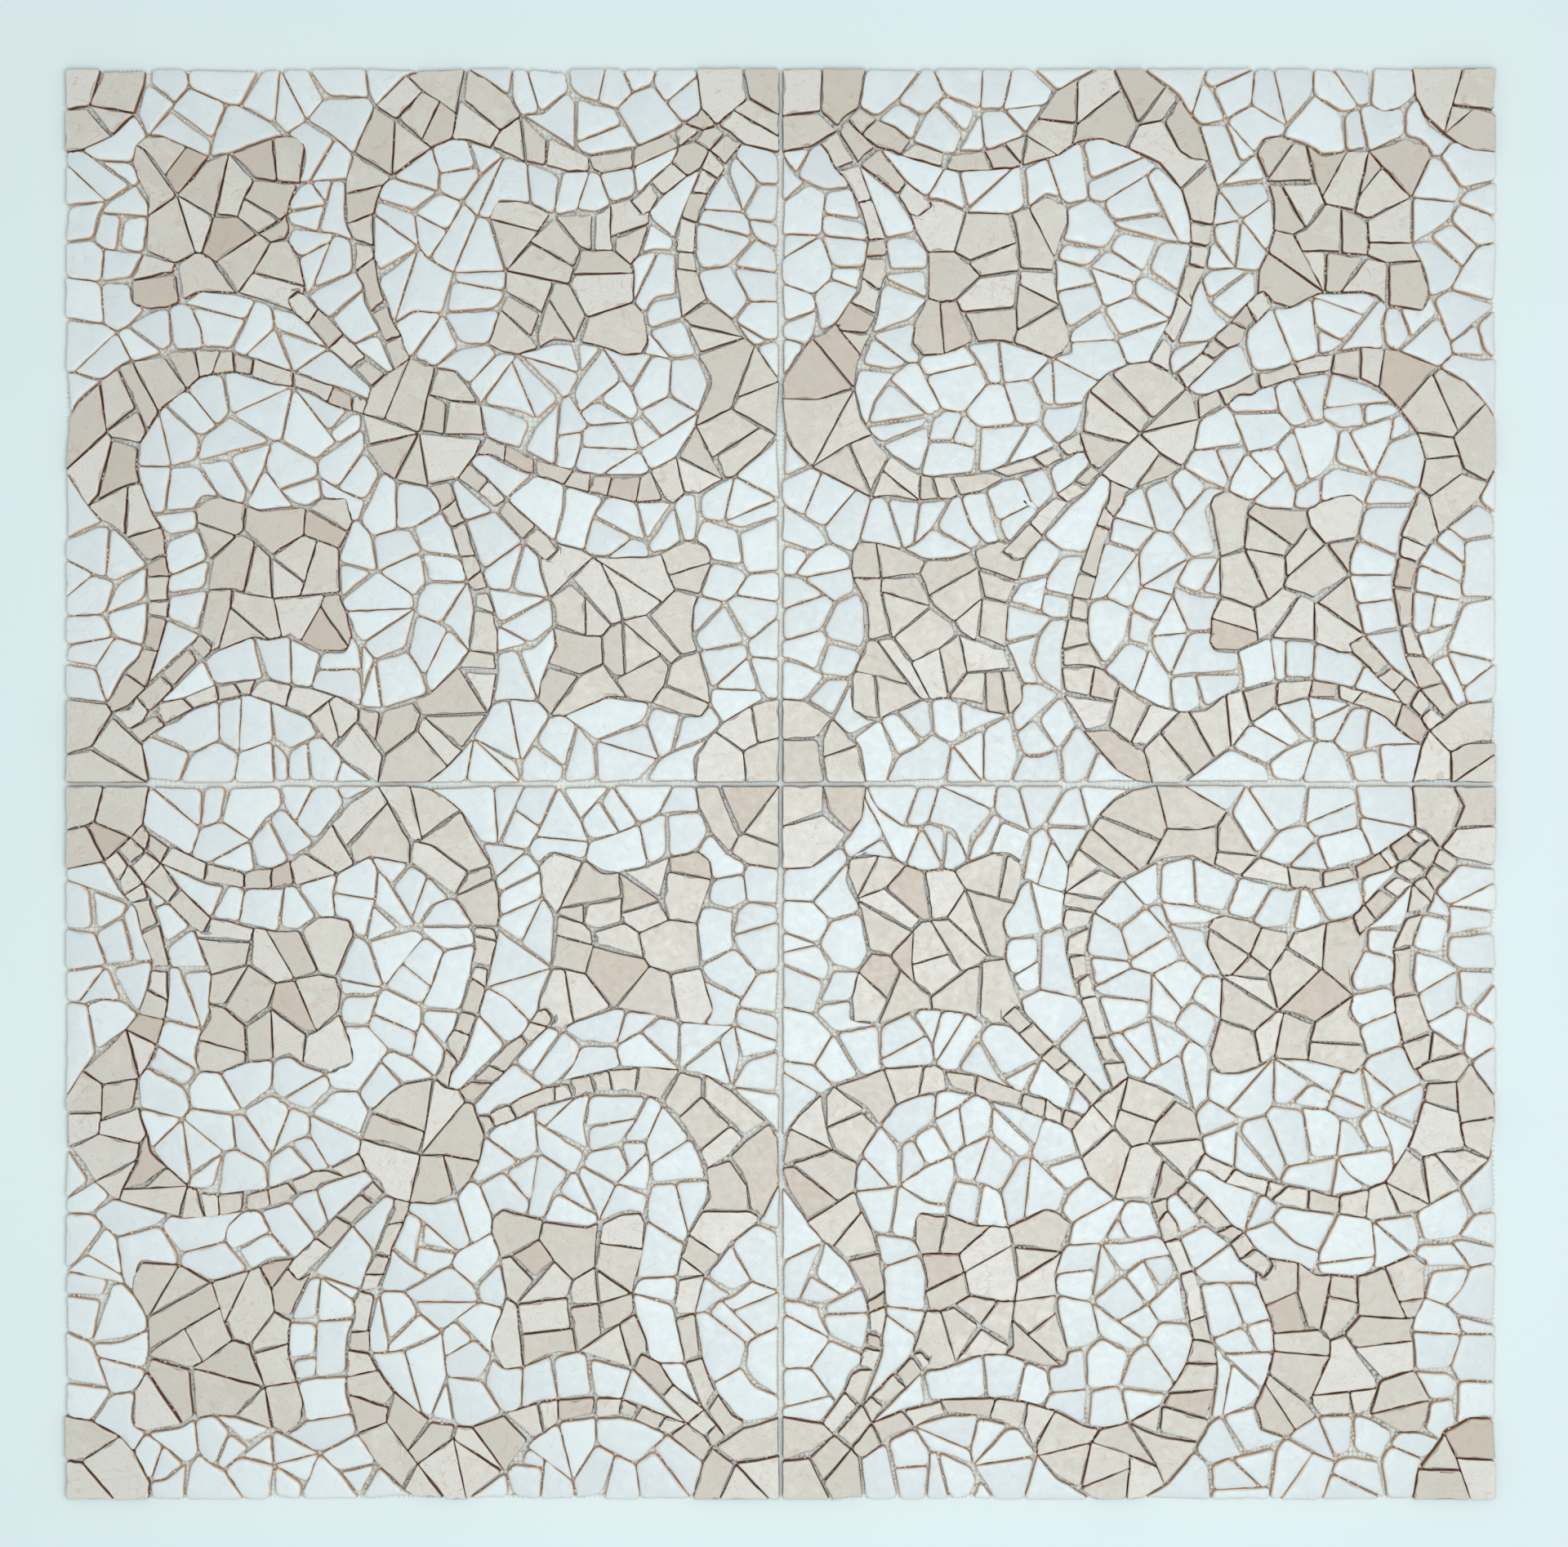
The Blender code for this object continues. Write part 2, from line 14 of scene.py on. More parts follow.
import bpy
import numpy as np
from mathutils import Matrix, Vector


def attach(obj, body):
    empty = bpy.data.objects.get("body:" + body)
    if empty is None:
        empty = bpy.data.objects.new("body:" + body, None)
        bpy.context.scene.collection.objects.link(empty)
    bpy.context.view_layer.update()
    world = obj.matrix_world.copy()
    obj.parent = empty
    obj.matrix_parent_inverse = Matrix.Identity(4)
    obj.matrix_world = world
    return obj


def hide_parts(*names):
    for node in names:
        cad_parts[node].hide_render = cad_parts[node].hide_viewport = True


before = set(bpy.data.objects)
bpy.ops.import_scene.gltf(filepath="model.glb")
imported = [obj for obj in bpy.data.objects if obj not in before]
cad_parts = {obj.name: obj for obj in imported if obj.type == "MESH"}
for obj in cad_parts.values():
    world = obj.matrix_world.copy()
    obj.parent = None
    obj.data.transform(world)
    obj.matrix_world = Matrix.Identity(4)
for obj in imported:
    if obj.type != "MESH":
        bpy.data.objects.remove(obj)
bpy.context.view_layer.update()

NOTHING = -1
STEPS = ((0, 1), (1, 0), (0, -1), (-1, 0))
INSET_SHARES = (1.0, 0.7, 0.45, 0.25)
STRAIGHT_TURN = 0.15
LARGEST_CORNER_CUT = 0.42
SHARP_ANGLE = math.radians(52)

Colour = tuple[float, float, float]
Span = tuple[float, float]
Key = tuple[int, int]

logger = logging.getLogger("mosaic_panel")


class Marble(Enum):
    """The two marbles of the panel, named as the record's material slots."""

    WHITE = "white_marble"
    BEIGE = "beige_marble"


class Figure(Enum):
    """The figures and fields of one sheet, with the part of the sheet that each belongs to."""

    MEDALLION = ("medallion", "rosette")
    INNER_FLOWER = ("inner_flower", "rosette")
    INNER_STEM = ("inner_stem", "rosette")
    OUTER_FLOWER = ("outer_flower", "rosette")
    OUTER_STEM = ("outer_stem", "rosette")
    SIDE_FLOWER = ("side_flower", "side_spray")
    SIDE_STEM = ("side_stem", "side_spray")
    SIDE_QUARTER = ("side_quarter", "side_spray")
    INNER_SIDE_SCROLL = ("inner_side_scroll", "side_spray")
    OUTER_SIDE_SCROLL = ("outer_side_scroll", "side_spray")
    END_FLOWER = ("end_flower", "end_spray")
    END_STEM = ("end_stem", "end_spray")
    END_QUARTER = ("end_quarter", "end_spray")
    INNER_END_SCROLL = ("inner_end_scroll", "end_spray")
    OUTER_END_SCROLL = ("outer_end_scroll", "end_spray")
    INNER_QUARTER = ("inner_quarter", "inner_quarter")
    OUTER_QUARTER = ("outer_quarter", "outer_quarter")
    INNER_FIELD = ("inner_field", "inner_field")
    OUTER_FIELD = ("outer_field", "outer_field")
    SIDE_FIELD = ("side_field", "side_field")
    END_FIELD = ("end_field", "end_field")
    INNER_SIDE_MARGIN = ("inner_side_margin", "inner_side_margin")
    OUTER_SIDE_MARGIN = ("outer_side_margin", "outer_side_margin")
    INNER_END_MARGIN = ("inner_end_margin", "inner_end_margin")
    OUTER_END_MARGIN = ("outer_end_margin", "outer_end_margin")

    @property
    def part(self) -> str:
        """The part of the sheet that the figure belongs to."""
        return self.value[1]

    @property
    def number(self) -> int:
        """The figure's number on the grid."""
        return list(Figure).index(self)


PARTS = tuple(dict.fromkeys(figure.part for figure in Figure))


def marble_of(part: str) -> Marble:
    """Return the marble of a part of the sheet."""
    return Marble.WHITE if part.endswith(("field", "margin")) else Marble.BEIGE


def linear(red: int, green: int, blue: int) -> Colour:
    """Turn a display colour of 0 to 255 into scene light.

    Args:
        red: red of the display colour.
        green: green of the display colour.
        blue: blue of the display colour.

    Returns:
        The linear colour.
    """
    parts = (red / 255, green / 255, blue / 255)
    return tuple(part / 12.92 if part <= 0.04045 else ((part + 0.055) / 1.055) ** 2.4 for part in parts)


class Value:
    """A number that varies over a surface, on which Python's operators add Math nodes."""

    def __init__(self, graph: "Graph", socket: bpy.types.NodeSocket) -> None:
        """Wrap an output socket."""
        self.graph = graph
        self.socket = socket

    def joined(self, operation: str, first: "Value | float", second: "Value | float") -> "Value":
        """Return what a Math node makes of two values.

        Args:
            operation: the Math node's operation.
            first: the first value.
            second: the second value.

        Returns:
            The wrapped result.
        """
        node = self.graph.add("ShaderNodeMath", {"operation": operation}, {0: first, 1: second})
        return Value(self.graph, node.outputs[0])

    def __add__(self, other: "Value | float") -> "Value":
        """Add."""
        return self.joined("ADD", self, other)

    def __sub__(self, other: "Value | float") -> "Value":
        """Subtract."""
        return self.joined("SUBTRACT", self, other)

    def __mul__(self, other: "Value | float") -> "Value":
        """Multiply."""
        return self.joined("MULTIPLY", self, other)

    def __abs__(self) -> "Value":
        """Drop the sign."""
        return self.joined("ABSOLUTE", self, 0.0)


class Graph:
    """The node tree of one material."""

    def __init__(self, name: str) -> None:
        """Start a material with a Principled shader."""
        self.material = bpy.data.materials.new(name)
        self.material.use_nodes = True
        self.tree = self.material.node_tree
        self.shader = self.tree.nodes["Principled BSDF"]

    def feed(self, socket: bpy.types.NodeSocket, value: object) -> None:
        """Give a socket a link or a plain value.

        Args:
            socket: the input socket.
            value: a wrapped value, an output socket, a number or a colour.
        """
        if isinstance(value, Value):
            self.tree.links.new(value.socket, socket)
        elif isinstance(value, bpy.types.NodeSocket):
            self.tree.links.new(value, socket)
        elif isinstance(value, tuple) and socket.type == "RGBA":
            socket.default_value = (*value, 1.0)
        else:
            socket.default_value = value

    def add(
        self,
        kind: str,
        settings: Mapping[str, object] | None = None,
        sockets: Mapping[str | int, object] | None = None,
    ) -> bpy.types.Node:
        """Add one node.

        Args:
            kind: the node's type.
            settings: the node's own settings, set before its sockets.
            sockets: values or links of its input sockets, by name or number.

        Returns:
            The new node.
        """
        node = self.tree.nodes.new(kind)
        for name, value in (settings or {}).items():
            setattr(node, name, value)
        for name, value in (sockets or {}).items():
            self.feed(node.inputs[name], value)
        return node

    def attribute(self, name: str) -> bpy.types.Node:
        """Return the node that reads a named attribute of the mesh."""
        return self.add("ShaderNodeAttribute", {"attribute_name": name})

    def noise(self, where: object, scale: float, detail: float, distortion: float = 0.0) -> Value:
        """Return fractal noise from 0 to 1.

        Args:
            where: the place on the surface.
            scale: spots per metre.
            detail: octaves.
            distortion: how far the pattern is swirled.

        Returns:
            The noise.
        """
        sockets = {"Vector": where, "Scale": scale, "Detail": detail, "Distortion": distortion}
        return Value(self, self.add("ShaderNodeTexNoise", sockets=sockets).outputs["Fac"])

    def rise(self, value: Value, low: float, high: float) -> Value:
        """Return a smooth step from 0 to 1.

        Args:
            value: what is stepped.
            low: where the step starts.
            high: where the step ends, which may be below the start.

        Returns:
            The step.
        """
        sockets = {0: value, 1: low, 2: high, 3: 0.0, 4: 1.0}
        node = self.add("ShaderNodeMapRange", {"interpolation_type": "SMOOTHSTEP"}, sockets)
        return Value(self, node.outputs[0])

    def blend(self, amount: object, first: object, second: object) -> bpy.types.NodeSocket:
        """Mix two colours.

        Args:
            amount: share of the second colour.
            first: the first colour.
            second: the second colour.

        Returns:
            The mixed colour.
        """
        return self.add("ShaderNodeMix", {"data_type": "RGBA"}, {0: amount, 6: first, 7: second}).outputs[2]

    def bump(self, height: Value, distance: float, strength: float, under: object = None) -> object:
        """Return a normal that stands for fine relief.

        Args:
            height: the relief, from 0 to 1.
            distance: the relief's depth in metres.
            strength: its share.
            under: the normal of coarser relief.

        Returns:
            The bumped normal.
        """
        sockets = {"Height": height, "Distance": distance, "Strength": strength}
        if under is not None:
            sockets["Normal"] = under
        return self.add("ShaderNodeBump", sockets=sockets).outputs[0]

    def finish(self, sockets: Mapping[str, object]) -> bpy.types.Material:
        """Feed the shader and return the material."""
        for name, value in sockets.items():
            self.feed(self.shader.inputs[name], value)
        return self.material


@dataclass(frozen=True)
class MarbleFinish:
    """Sawn and honed marble, with clouds, veins, and broken sides stained warm and painted darker towards the
    foot as shade in the joints.
    """

    name: str
    body: Colour
    pale: Colour
    deep: Colour
    odd: Colour
    vein: Colour
    speck: Colour
    # The next two colours: the warm stain of the broken sides, which also stands in for the warm shade of the
    # joints, and the colour at the foot of each joint, stain plus painted shade, darkest where the joint is
    # deepest.
    side: Colour
    foot_stain_and_shade: Colour
    vein_share: float
    speck_share: float
    cloud_share: float
    tone_share: float
    odd_level: float
    # Share of the side colour on the rounded top edge: stain plus painted shade where the edge rounds into
    # the joint.
    rim_stain_and_shade_share: float
    roughness: Span
    grain_depth: float

    def material(self) -> bpy.types.Material:
        """Return the stone's material.

        Returns:
            A material that reads the attributes "stone" and "depth".
        """
        graph = Graph(self.name)
        stone = graph.attribute("stone")
        parts = graph.add("ShaderNodeSeparateColor", sockets={0: stone.outputs["Color"]})
        tone = Value(graph, parts.outputs[0])
        warmth = Value(graph, parts.outputs[1])
        depth = Value(graph, graph.attribute("depth").outputs["Fac"])
        place = graph.add("ShaderNodeTexCoord").outputs["Object"]
        shift = {0: stone.outputs["Color"], 1: (3.7, 5.3, 4.1), 2: place}
        where = graph.add("ShaderNodeVectorMath", {"operation": "MULTIPLY_ADD"}, shift).outputs[0]
        cloud = graph.noise(where, 34.0, 5.0, 0.6)
        patch = graph.noise(where, 95.0, 4.0)
        colour = graph.blend(graph.rise(cloud, 0.34, 0.66) * self.cloud_share, self.body, self.deep)
        colour = graph.blend(graph.rise(patch, 0.48, 0.72) * self.cloud_share, colour, self.pale)
        colour = graph.blend(graph.rise(tone, 0.55, 0.95) * self.tone_share, colour, self.pale)
        colour = graph.blend(graph.rise(tone, 0.5, 0.1) * self.tone_share, colour, self.deep)
        colour = graph.blend(graph.rise(warmth, self.odd_level, self.odd_level + 0.12), colour, self.odd)
        swirl = graph.noise(where, 21.0, 6.0, 1.6)
        thin = graph.rise(abs(swirl - 0.5), 0.016, 0.0) * graph.rise(patch, 0.42, 0.6)
        colour = graph.blend(thin * self.vein_share, colour, self.vein)
        fine = graph.noise(where, 520.0, 3.0)
        colour = graph.blend(graph.rise(fine, 0.56, 0.7) * self.speck_share, colour, self.speck)
        dust = graph.noise(where, 150.0, 4.0)
        # The rounded top edge takes a little of the side colour: stain plus painted shade where the edge
        # rounds into the joint.
        rim_stain_and_shade = graph.rise(depth + dust * 0.06 - 0.03, 0.0, 0.06) * self.rim_stain_and_shade_share
        colour = graph.blend(rim_stain_and_shade, colour, self.side)
        # With depth in the joint the sides go to the side colour and then to the darker foot colour: a warm
        # stain of the broken sides plus painted shade, darkest deep in the joint.
        colour = graph.blend(graph.rise(depth + dust * 0.12 - 0.06, 0.03, 0.2), colour, self.side)
        colour = graph.blend(graph.rise(depth + dust * 0.2 - 0.1, 0.12, 0.5), colour, self.foot_stain_and_shade)
        low, high = self.roughness
        rough = graph.rise(dust, 0.25, 0.75) * (high - low) + low + graph.rise(depth, 0.05, 0.3) * 0.2
        broad = graph.bump(graph.noise(where, 120.0, 5.0), self.grain_depth * 4, 0.6)
        normal = graph.bump(graph.noise(where, 900.0, 4.0), self.grain_depth, 0.7, broad)
        return graph.finish({"Base Color": colour, "Roughness": rough, "Normal": normal})


@dataclass(frozen=True)
class NetFinish:
    """Woven white glass net, dressed with adhesive."""

    name: str = "glass_net"
    yarn: Colour = linear(234, 234, 228)
    dusty: Colour = linear(206, 196, 180)
    roughness: float = 0.6

    def material(self) -> bpy.types.Material:
        """Return the net's material, with fine filaments and dust."""
        graph = Graph(self.name)
        place = graph.add("ShaderNodeTexCoord").outputs["Object"]
        dust = graph.noise(place, 60.0, 5.0)
        colour = graph.blend(graph.rise(dust, 0.35, 0.7), self.yarn, self.dusty)
        threads = graph.noise(place, 1800.0, 2.0)
        normal = graph.bump(threads, 0.00015, 0.8)
        rough = graph.rise(threads, 0.3, 0.7) * 0.2 + self.roughness
        return graph.finish({"Base Color": colour, "Roughness": rough, "Normal": normal})


@dataclass(frozen=True)
class GlueFinish:
    """Set white adhesive, in beads on the net."""

    name: str = "set_adhesive"
    pale: Colour = linear(250, 247, 238)
    dusty: Colour = linear(226, 216, 198)
    roughness: float = 0.38

    def material(self) -> bpy.types.Material:
        """Return the adhesive's material."""
        graph = Graph(self.name)
        place = graph.add("ShaderNodeTexCoord").outputs["Object"]
        dust = graph.noise(place, 140.0, 4.0)
        colour = graph.blend(graph.rise(dust, 0.4, 0.7), self.pale, self.dusty)
        rough = graph.rise(dust, 0.3, 0.7) * 0.3 + self.roughness
        normal = graph.bump(graph.noise(place, 700.0, 3.0), 0.0002, 0.5)
        return graph.finish({"Base Color": colour, "Roughness": rough, "Normal": normal})


@dataclass(frozen=True)
class FloorFinish:
    """Plain pale studio floor."""

    name: str = "studio_floor"
    colour: Colour = linear(222, 238, 240)
    shade: Colour = linear(218, 235, 238)

    def material(self) -> bpy.types.Material:
        """Return the floor's material."""
        graph = Graph(self.name)
        place = graph.add("ShaderNodeTexCoord").outputs["Object"]
        colour = graph.blend(graph.noise(place, 2.0, 2.0), self.colour, self.shade)
        return graph.finish({"Base Color": colour, "Roughness": 0.8})


WHITE_FINISH = MarbleFinish(
    name="white_tumbled_marble",
    body=linear(215, 227, 228),
    pale=linear(222, 234, 235),
    deep=linear(206, 217, 220),
    odd=linear(206, 212, 214),
    vein=linear(202, 194, 180),
    speck=linear(208, 212, 208),
    # The side and foot colours: warm stain of the broken sides plus painted shade in the joints.
    side=linear(236, 224, 208),
    foot_stain_and_shade=linear(226, 202, 178),
    vein_share=0.35,
    speck_share=0.3,
    cloud_share=0.5,
    tone_share=0.55,
    odd_level=0.93,
    # Side colour on the rounded top edge: stain plus painted shade.
    rim_stain_and_shade_share=0.35,
    roughness=(0.38, 0.58),
    grain_depth=0.00012,
)
BEIGE_FINISH = MarbleFinish(
    name="beige_honed_marble",
    body=linear(205, 204, 194),
    pale=linear(214, 215, 208),
    deep=linear(196, 192, 180),
    odd=linear(191, 182, 168),
    vein=linear(186, 160, 134),
    speck=linear(182, 171, 154),
    # The side and foot colours: warm stain of the broken sides plus painted shade in the joints.
    side=linear(204, 176, 152),
    foot_stain_and_shade=linear(150, 106, 80),
    vein_share=0.5,
    speck_share=0.45,
    cloud_share=0.55,
    tone_share=0.8,
    odd_level=0.86,
    # Side colour on the rounded top edge: stain plus painted shade.
    rim_stain_and_shade_share=0.25,
    roughness=(0.34, 0.5),
    grain_depth=0.00010,
)


@dataclass(frozen=True)
class StoneCut:
    """How the stones of one marble are broken, rounded and laid."""

    half_joint: Span
    wide_joint: Span
    wide_share: float
    setback: Span
    corner_gap: float
    loose_share: float
    corner_cut: Span
    corner_points: int
    edge: tuple[Span, ...]
    wobble: float
    tilt: float
    dome: float
    sinking: float
    stretch: Span
    chip_chance: float
    chip_size: float


CUTS = {
    Marble.WHITE: StoneCut(
        half_joint=(0.0001, 0.0004),
        wide_joint=(0.0007, 0.0020),
        wide_share=0.17,
        setback=(0.0, 0.0014),
        corner_gap=0.0048,
        loose_share=0.26,
        corner_cut=(0.0020, 0.0072),
        corner_points=4,
        edge=((0.0, 0.0015), (0.0003, 0.0006), (0.0009, 0.00014), (0.0018, 0.0)),
        wobble=0.00030,
        tilt=0.014,
        dome=0.00012,
        sinking=0.0006,
        stretch=(1.0, 1.75),
        chip_chance=0.04,
        chip_size=0.0009,
    ),
    Marble.BEIGE: StoneCut(
        half_joint=(0.0001, 0.0004),
        wide_joint=(0.0007, 0.0018),
        wide_share=0.13,
        setback=(0.0, 0.0008),
        corner_gap=0.0044,
        loose_share=0.26,
        corner_cut=(0.0005, 0.0034),
        corner_points=3,
        edge=((0.0, 0.0006), (0.00015, 0.0002), (0.0005, 0.0), (0.0012, 0.0)),
        wobble=0.00035,
        tilt=0.014,
        dome=0.0,
        sinking=0.0005,
        stretch=(1.0, 1.5),
        chip_chance=0.12,
        chip_size=0.0012,
    ),
}


@dataclass
class SheetPattern:
    """The figures of one sheet, drawn on a square grid of cells."""

    side: float = 0.598
    cell_goal: float = 0.0007
    medallion_radius: float = 0.051
    quarter_radius: float = 0.070
    stem_width: float = 0.0155
    rosette_lane: float = 0.0155
    spray_lane: float = 0.0363
    rosette_flower: Span = (0.162, 0.098)
    spray_flower: Span = (0.147, 0.090)
    stem_lap: float = 0.1
    narrowest_field: float = 0.006
    field_stone: float = 0.0310
    flower_stone: float = 0.0320
    medallion_stone: float = 0.0350
    quarter_stone: float = 0.0340
    stem_stone: float = 0.0200
    band_stone: Span = (0.0190, 0.0350)
    scroll: tuple[tuple[float, float, float], ...] = (
        (0.470, 0.490, 0.024),
        (0.426, 0.478, 0.024),
        (0.335, 0.440, 0.023),
        (0.246, 0.415, 0.027),
        (0.178, 0.414, 0.042),
        (0.105, 0.450, 0.080),
        (0.053, 0.515, 0.108),
        (0.062, 0.585, 0.080),
        (0.110, 0.650, 0.046),
        (0.132, 0.730, 0.026),
        (0.121, 0.805, 0.023),
        (0.087, 0.870, 0.027),
        (0.030, 0.950, 0.028),
    )
    corner_field: Span = (0.03, 0.20)
    spray_field: Span = (0.56, 0.33)
    margin: Span = (0.02, 0.72)
    count: int = field(init=False)
    cell: float = field(init=False)
    across: np.ndarray = field(init=False, repr=False)
    along: np.ndarray = field(init=False, repr=False)
    figure: np.ndarray = field(init=False, repr=False)
    stone_size: np.ndarray = field(init=False, repr=False)

    def __post_init__(self) -> None:
        """Lay out the grid and draw every figure."""
        self.count = round(self.side / self.cell_goal)
        self.cell = self.side / self.count
        middles = (np.arange(self.count) + 0.5) * self.cell
        self.across, self.along = np.meshgrid(middles, middles)
        self.figure = np.full((self.count, self.count), NOTHING)
        self.stone_size = np.zeros(self.figure.shape)
        self.draw_scrolls()
        self.draw_flowers()
        self.draw_rounds()
        self.fill_fields()

    def put(self, figure: Figure, mask: np.ndarray, stone_size: np.ndarray | float) -> None:
        """Give the cells of a mask to a figure.

        Args:
            figure: the figure.
            mask: its cells.
            stone_size: the size of its stones, one number or one for each cell of the grid.
        """
        self.figure[mask] = figure.number
        self.stone_size[mask] = stone_size[mask] if isinstance(stone_size, np.ndarray) else stone_size

    def draw_scrolls(self) -> None:
        """Draw one scroll as a line of varying width and turn it into the other three."""
        line = smooth_line(self.scroll) * self.side
        narrow, wide = (min(line[:, 2]), max(line[:, 2]))
        small, large = self.band_stone
        sizes = np.zeros(self.across.shape)
        for x, y, width in line:
            disc = np.hypot(self.across - x, self.along - y) < width / 2
            size = small + (large - small) * (width - narrow) / (wide - narrow)
            sizes[disc] = np.maximum(sizes[disc], size)
        turns = (
            (Figure.INNER_END_SCROLL, sizes),
            (Figure.INNER_SIDE_SCROLL, sizes.T),
            (Figure.OUTER_SIDE_SCROLL, sizes[::-1, ::-1]),
            (Figure.OUTER_END_SCROLL, sizes.T[::-1, ::-1]),
        )
        for figure, turned in turns:
            self.put(figure, turned > 0, turned)

    def draw_flowers(self) -> None:
        """Draw the four flowers with the stems that tie them to a medallion or to a corner."""
        middle = self.side / 2
        rosette = (*self.rosette_flower, self.quarter_radius + self.rosette_lane)
        spray = (*self.spray_flower, self.medallion_radius + self.spray_lane)
        self.draw_flower(Figure.INNER_FLOWER, Figure.INNER_STEM, (middle, middle), (-1, -1), rosette)
        self.draw_flower(Figure.OUTER_FLOWER, Figure.OUTER_STEM, (middle, middle), (1, 1), rosette)
        self.draw_flower(Figure.SIDE_FLOWER, Figure.SIDE_STEM, (self.side, 0.0), (-1, 1), spray)
        self.draw_flower(Figure.END_FLOWER, Figure.END_STEM, (0.0, self.side), (1, -1), spray)

    def draw_flower(
        self,
        flower: Figure,
        stem: Figure,
        root: Span,
        way: tuple[int, int],
        shape: tuple[float, float, float],
    ) -> None:
        """Draw a flower with four lobes, one of them facing the root of its stem.

        Args:
            flower: the flower's figure.
            stem: its stem's figure.
            root: where the stem starts.
            way: the diagonal along which it runs.
            shape: shares of the side from the middle to a tip and to a waist, and the room beyond the flower.
        """
        tip, waist = (share * self.side for share in shape[:2])
        reach = self.side * math.sqrt(0.5) - shape[2] - tip
        step_x, step_y = (part * math.sqrt(0.5) for part in way)
        forward = (self.across - root[0]) * step_x + (self.along - root[1]) * step_y
        sideways = (self.along - root[1]) * step_x - (self.across - root[0]) * step_y
        turn = np.arctan2(sideways, forward - reach)
        between = tip * waist * math.sqrt(0.5) / ((tip + waist) * math.sin(math.pi / 8))
        mean = (tip + waist) / 4 + between / 2
        sharpness = (tip + waist) / 4 - between / 2
        outline = mean + (tip - waist) / 2 * np.cos(4 * turn) + sharpness * np.cos(8 * turn)
        self.put(flower, np.hypot(forward - reach, sideways) < outline, self.flower_stone)
        stem_end = reach - (1 - self.stem_lap) * tip
        on_stem = (np.abs(sideways) < self.stem_width / 2) & (forward > 0) & (forward < stem_end)
        self.put(stem, on_stem, self.stem_stone)

    def draw_rounds(self) -> None:
        """Draw the middle medallion and the quarter medallions at the corners."""
        middle = self.side / 2
        rounds = (
            (Figure.MEDALLION, middle, middle, self.medallion_radius, self.medallion_stone),
            (Figure.INNER_QUARTER, 0.0, 0.0, self.quarter_radius, self.quarter_stone),
            (Figure.OUTER_QUARTER, self.side, self.side, self.quarter_radius, self.quarter_stone),
            (Figure.SIDE_QUARTER, self.side, 0.0, self.quarter_radius, self.quarter_stone),
            (Figure.END_QUARTER, 0.0, self.side, self.quarter_radius, self.quarter_stone),
        )
        for figure, x, y, radius, size in rounds:
            self.put(figure, np.hypot(self.across - x, self.along - y) < radius, size)

    def fill_fields(self) -> None:
        """Fill what is left with the white fields, without slivers too narrow for a stone."""
        reach = round(self.narrowest_field / 2 / self.cell)
        free = widen(~widen(self.figure != NOTHING, reach), reach) & (self.figure == NOTHING)
        seeds = {
            Figure.INNER_FIELD: self.corner_field,
            Figure.OUTER_FIELD: opposite(self.corner_field),
            Figure.SIDE_FIELD: self.spray_field,
            Figure.END_FIELD: self.spray_field[::-1],
            Figure.INNER_END_MARGIN: self.margin,
            Figure.INNER_SIDE_MARGIN: self.margin[::-1],
            Figure.OUTER_SIDE_MARGIN: opposite(self.margin),
            Figure.OUTER_END_MARGIN: opposite(self.margin[::-1]),
        }
        for figure, (x, y) in seeds.items():
            start = (int(y * self.count), int(x * self.count))
            self.put(figure, flood(free, start), self.field_stone)


def smooth_line(points: Sequence[Sequence[float]], per_span: int = 10) -> np.ndarray:
    """Return a smooth curve through points, a Catmull-Rom spline.

    Args:
        points: the points, each with its width.
        per_span: steps from one point to the next.

    Returns:
        The curve's points.
    """
    given = np.array(points)
    padded = np.vstack([given[0], given, given[-1]])
    share = np.linspace(0.0, 1.0, per_span, endpoint=False)[:, None]
    spans = []
    for before, start, end, after in zip(padded, padded[1:], padded[2:], padded[3:]):
        slope = end - before
        bend = 2 * before - 5 * start + 4 * end - after
        twist = 3 * start - before - 3 * end + after
        spans.append(start + 0.5 * (slope * share + bend * share ** 2 + twist * share ** 3))
    spans.append(given[-1:])
    return np.vstack(spans)


def opposite(point: Span) -> Span:
    """Return the point across the sheet's middle, in shares of the side."""
    return (1 - point[0], 1 - point[1])


def shifted(grid: np.ndarray, step: tuple[int, int], fill: int) -> np.ndarray:
    """Return a grid moved by one cell.

    Args:
        grid: the grid.
        step: rows and columns to move by.
        fill: what comes in at the edge.

    Returns:
        The moved grid.
    """
    rows, columns = step
    padded = np.pad(grid, 1, constant_values=fill)
    height, width = grid.shape
    return padded[1 - rows:1 - rows + height, 1 - columns:1 - columns + width]


def widen(mask: np.ndarray, reach: int) -> np.ndarray:
    """Return a mask grown by a disc.

    Args:
        mask: the mask.
        reach: the disc's radius in cells.

    Returns:
        The grown mask.
    """
    height, width = mask.shape
    padded = np.pad(mask, reach)
    grown = np.zeros_like(mask)
    for rows in range(-reach, reach + 1):
        columns = int(math.sqrt(reach ** 2 - rows ** 2))
        for column in range(-columns, columns + 1):
            top = reach + rows
            left = reach + column
            grown |= padded[top:top + height, left:left + width]
    return grown


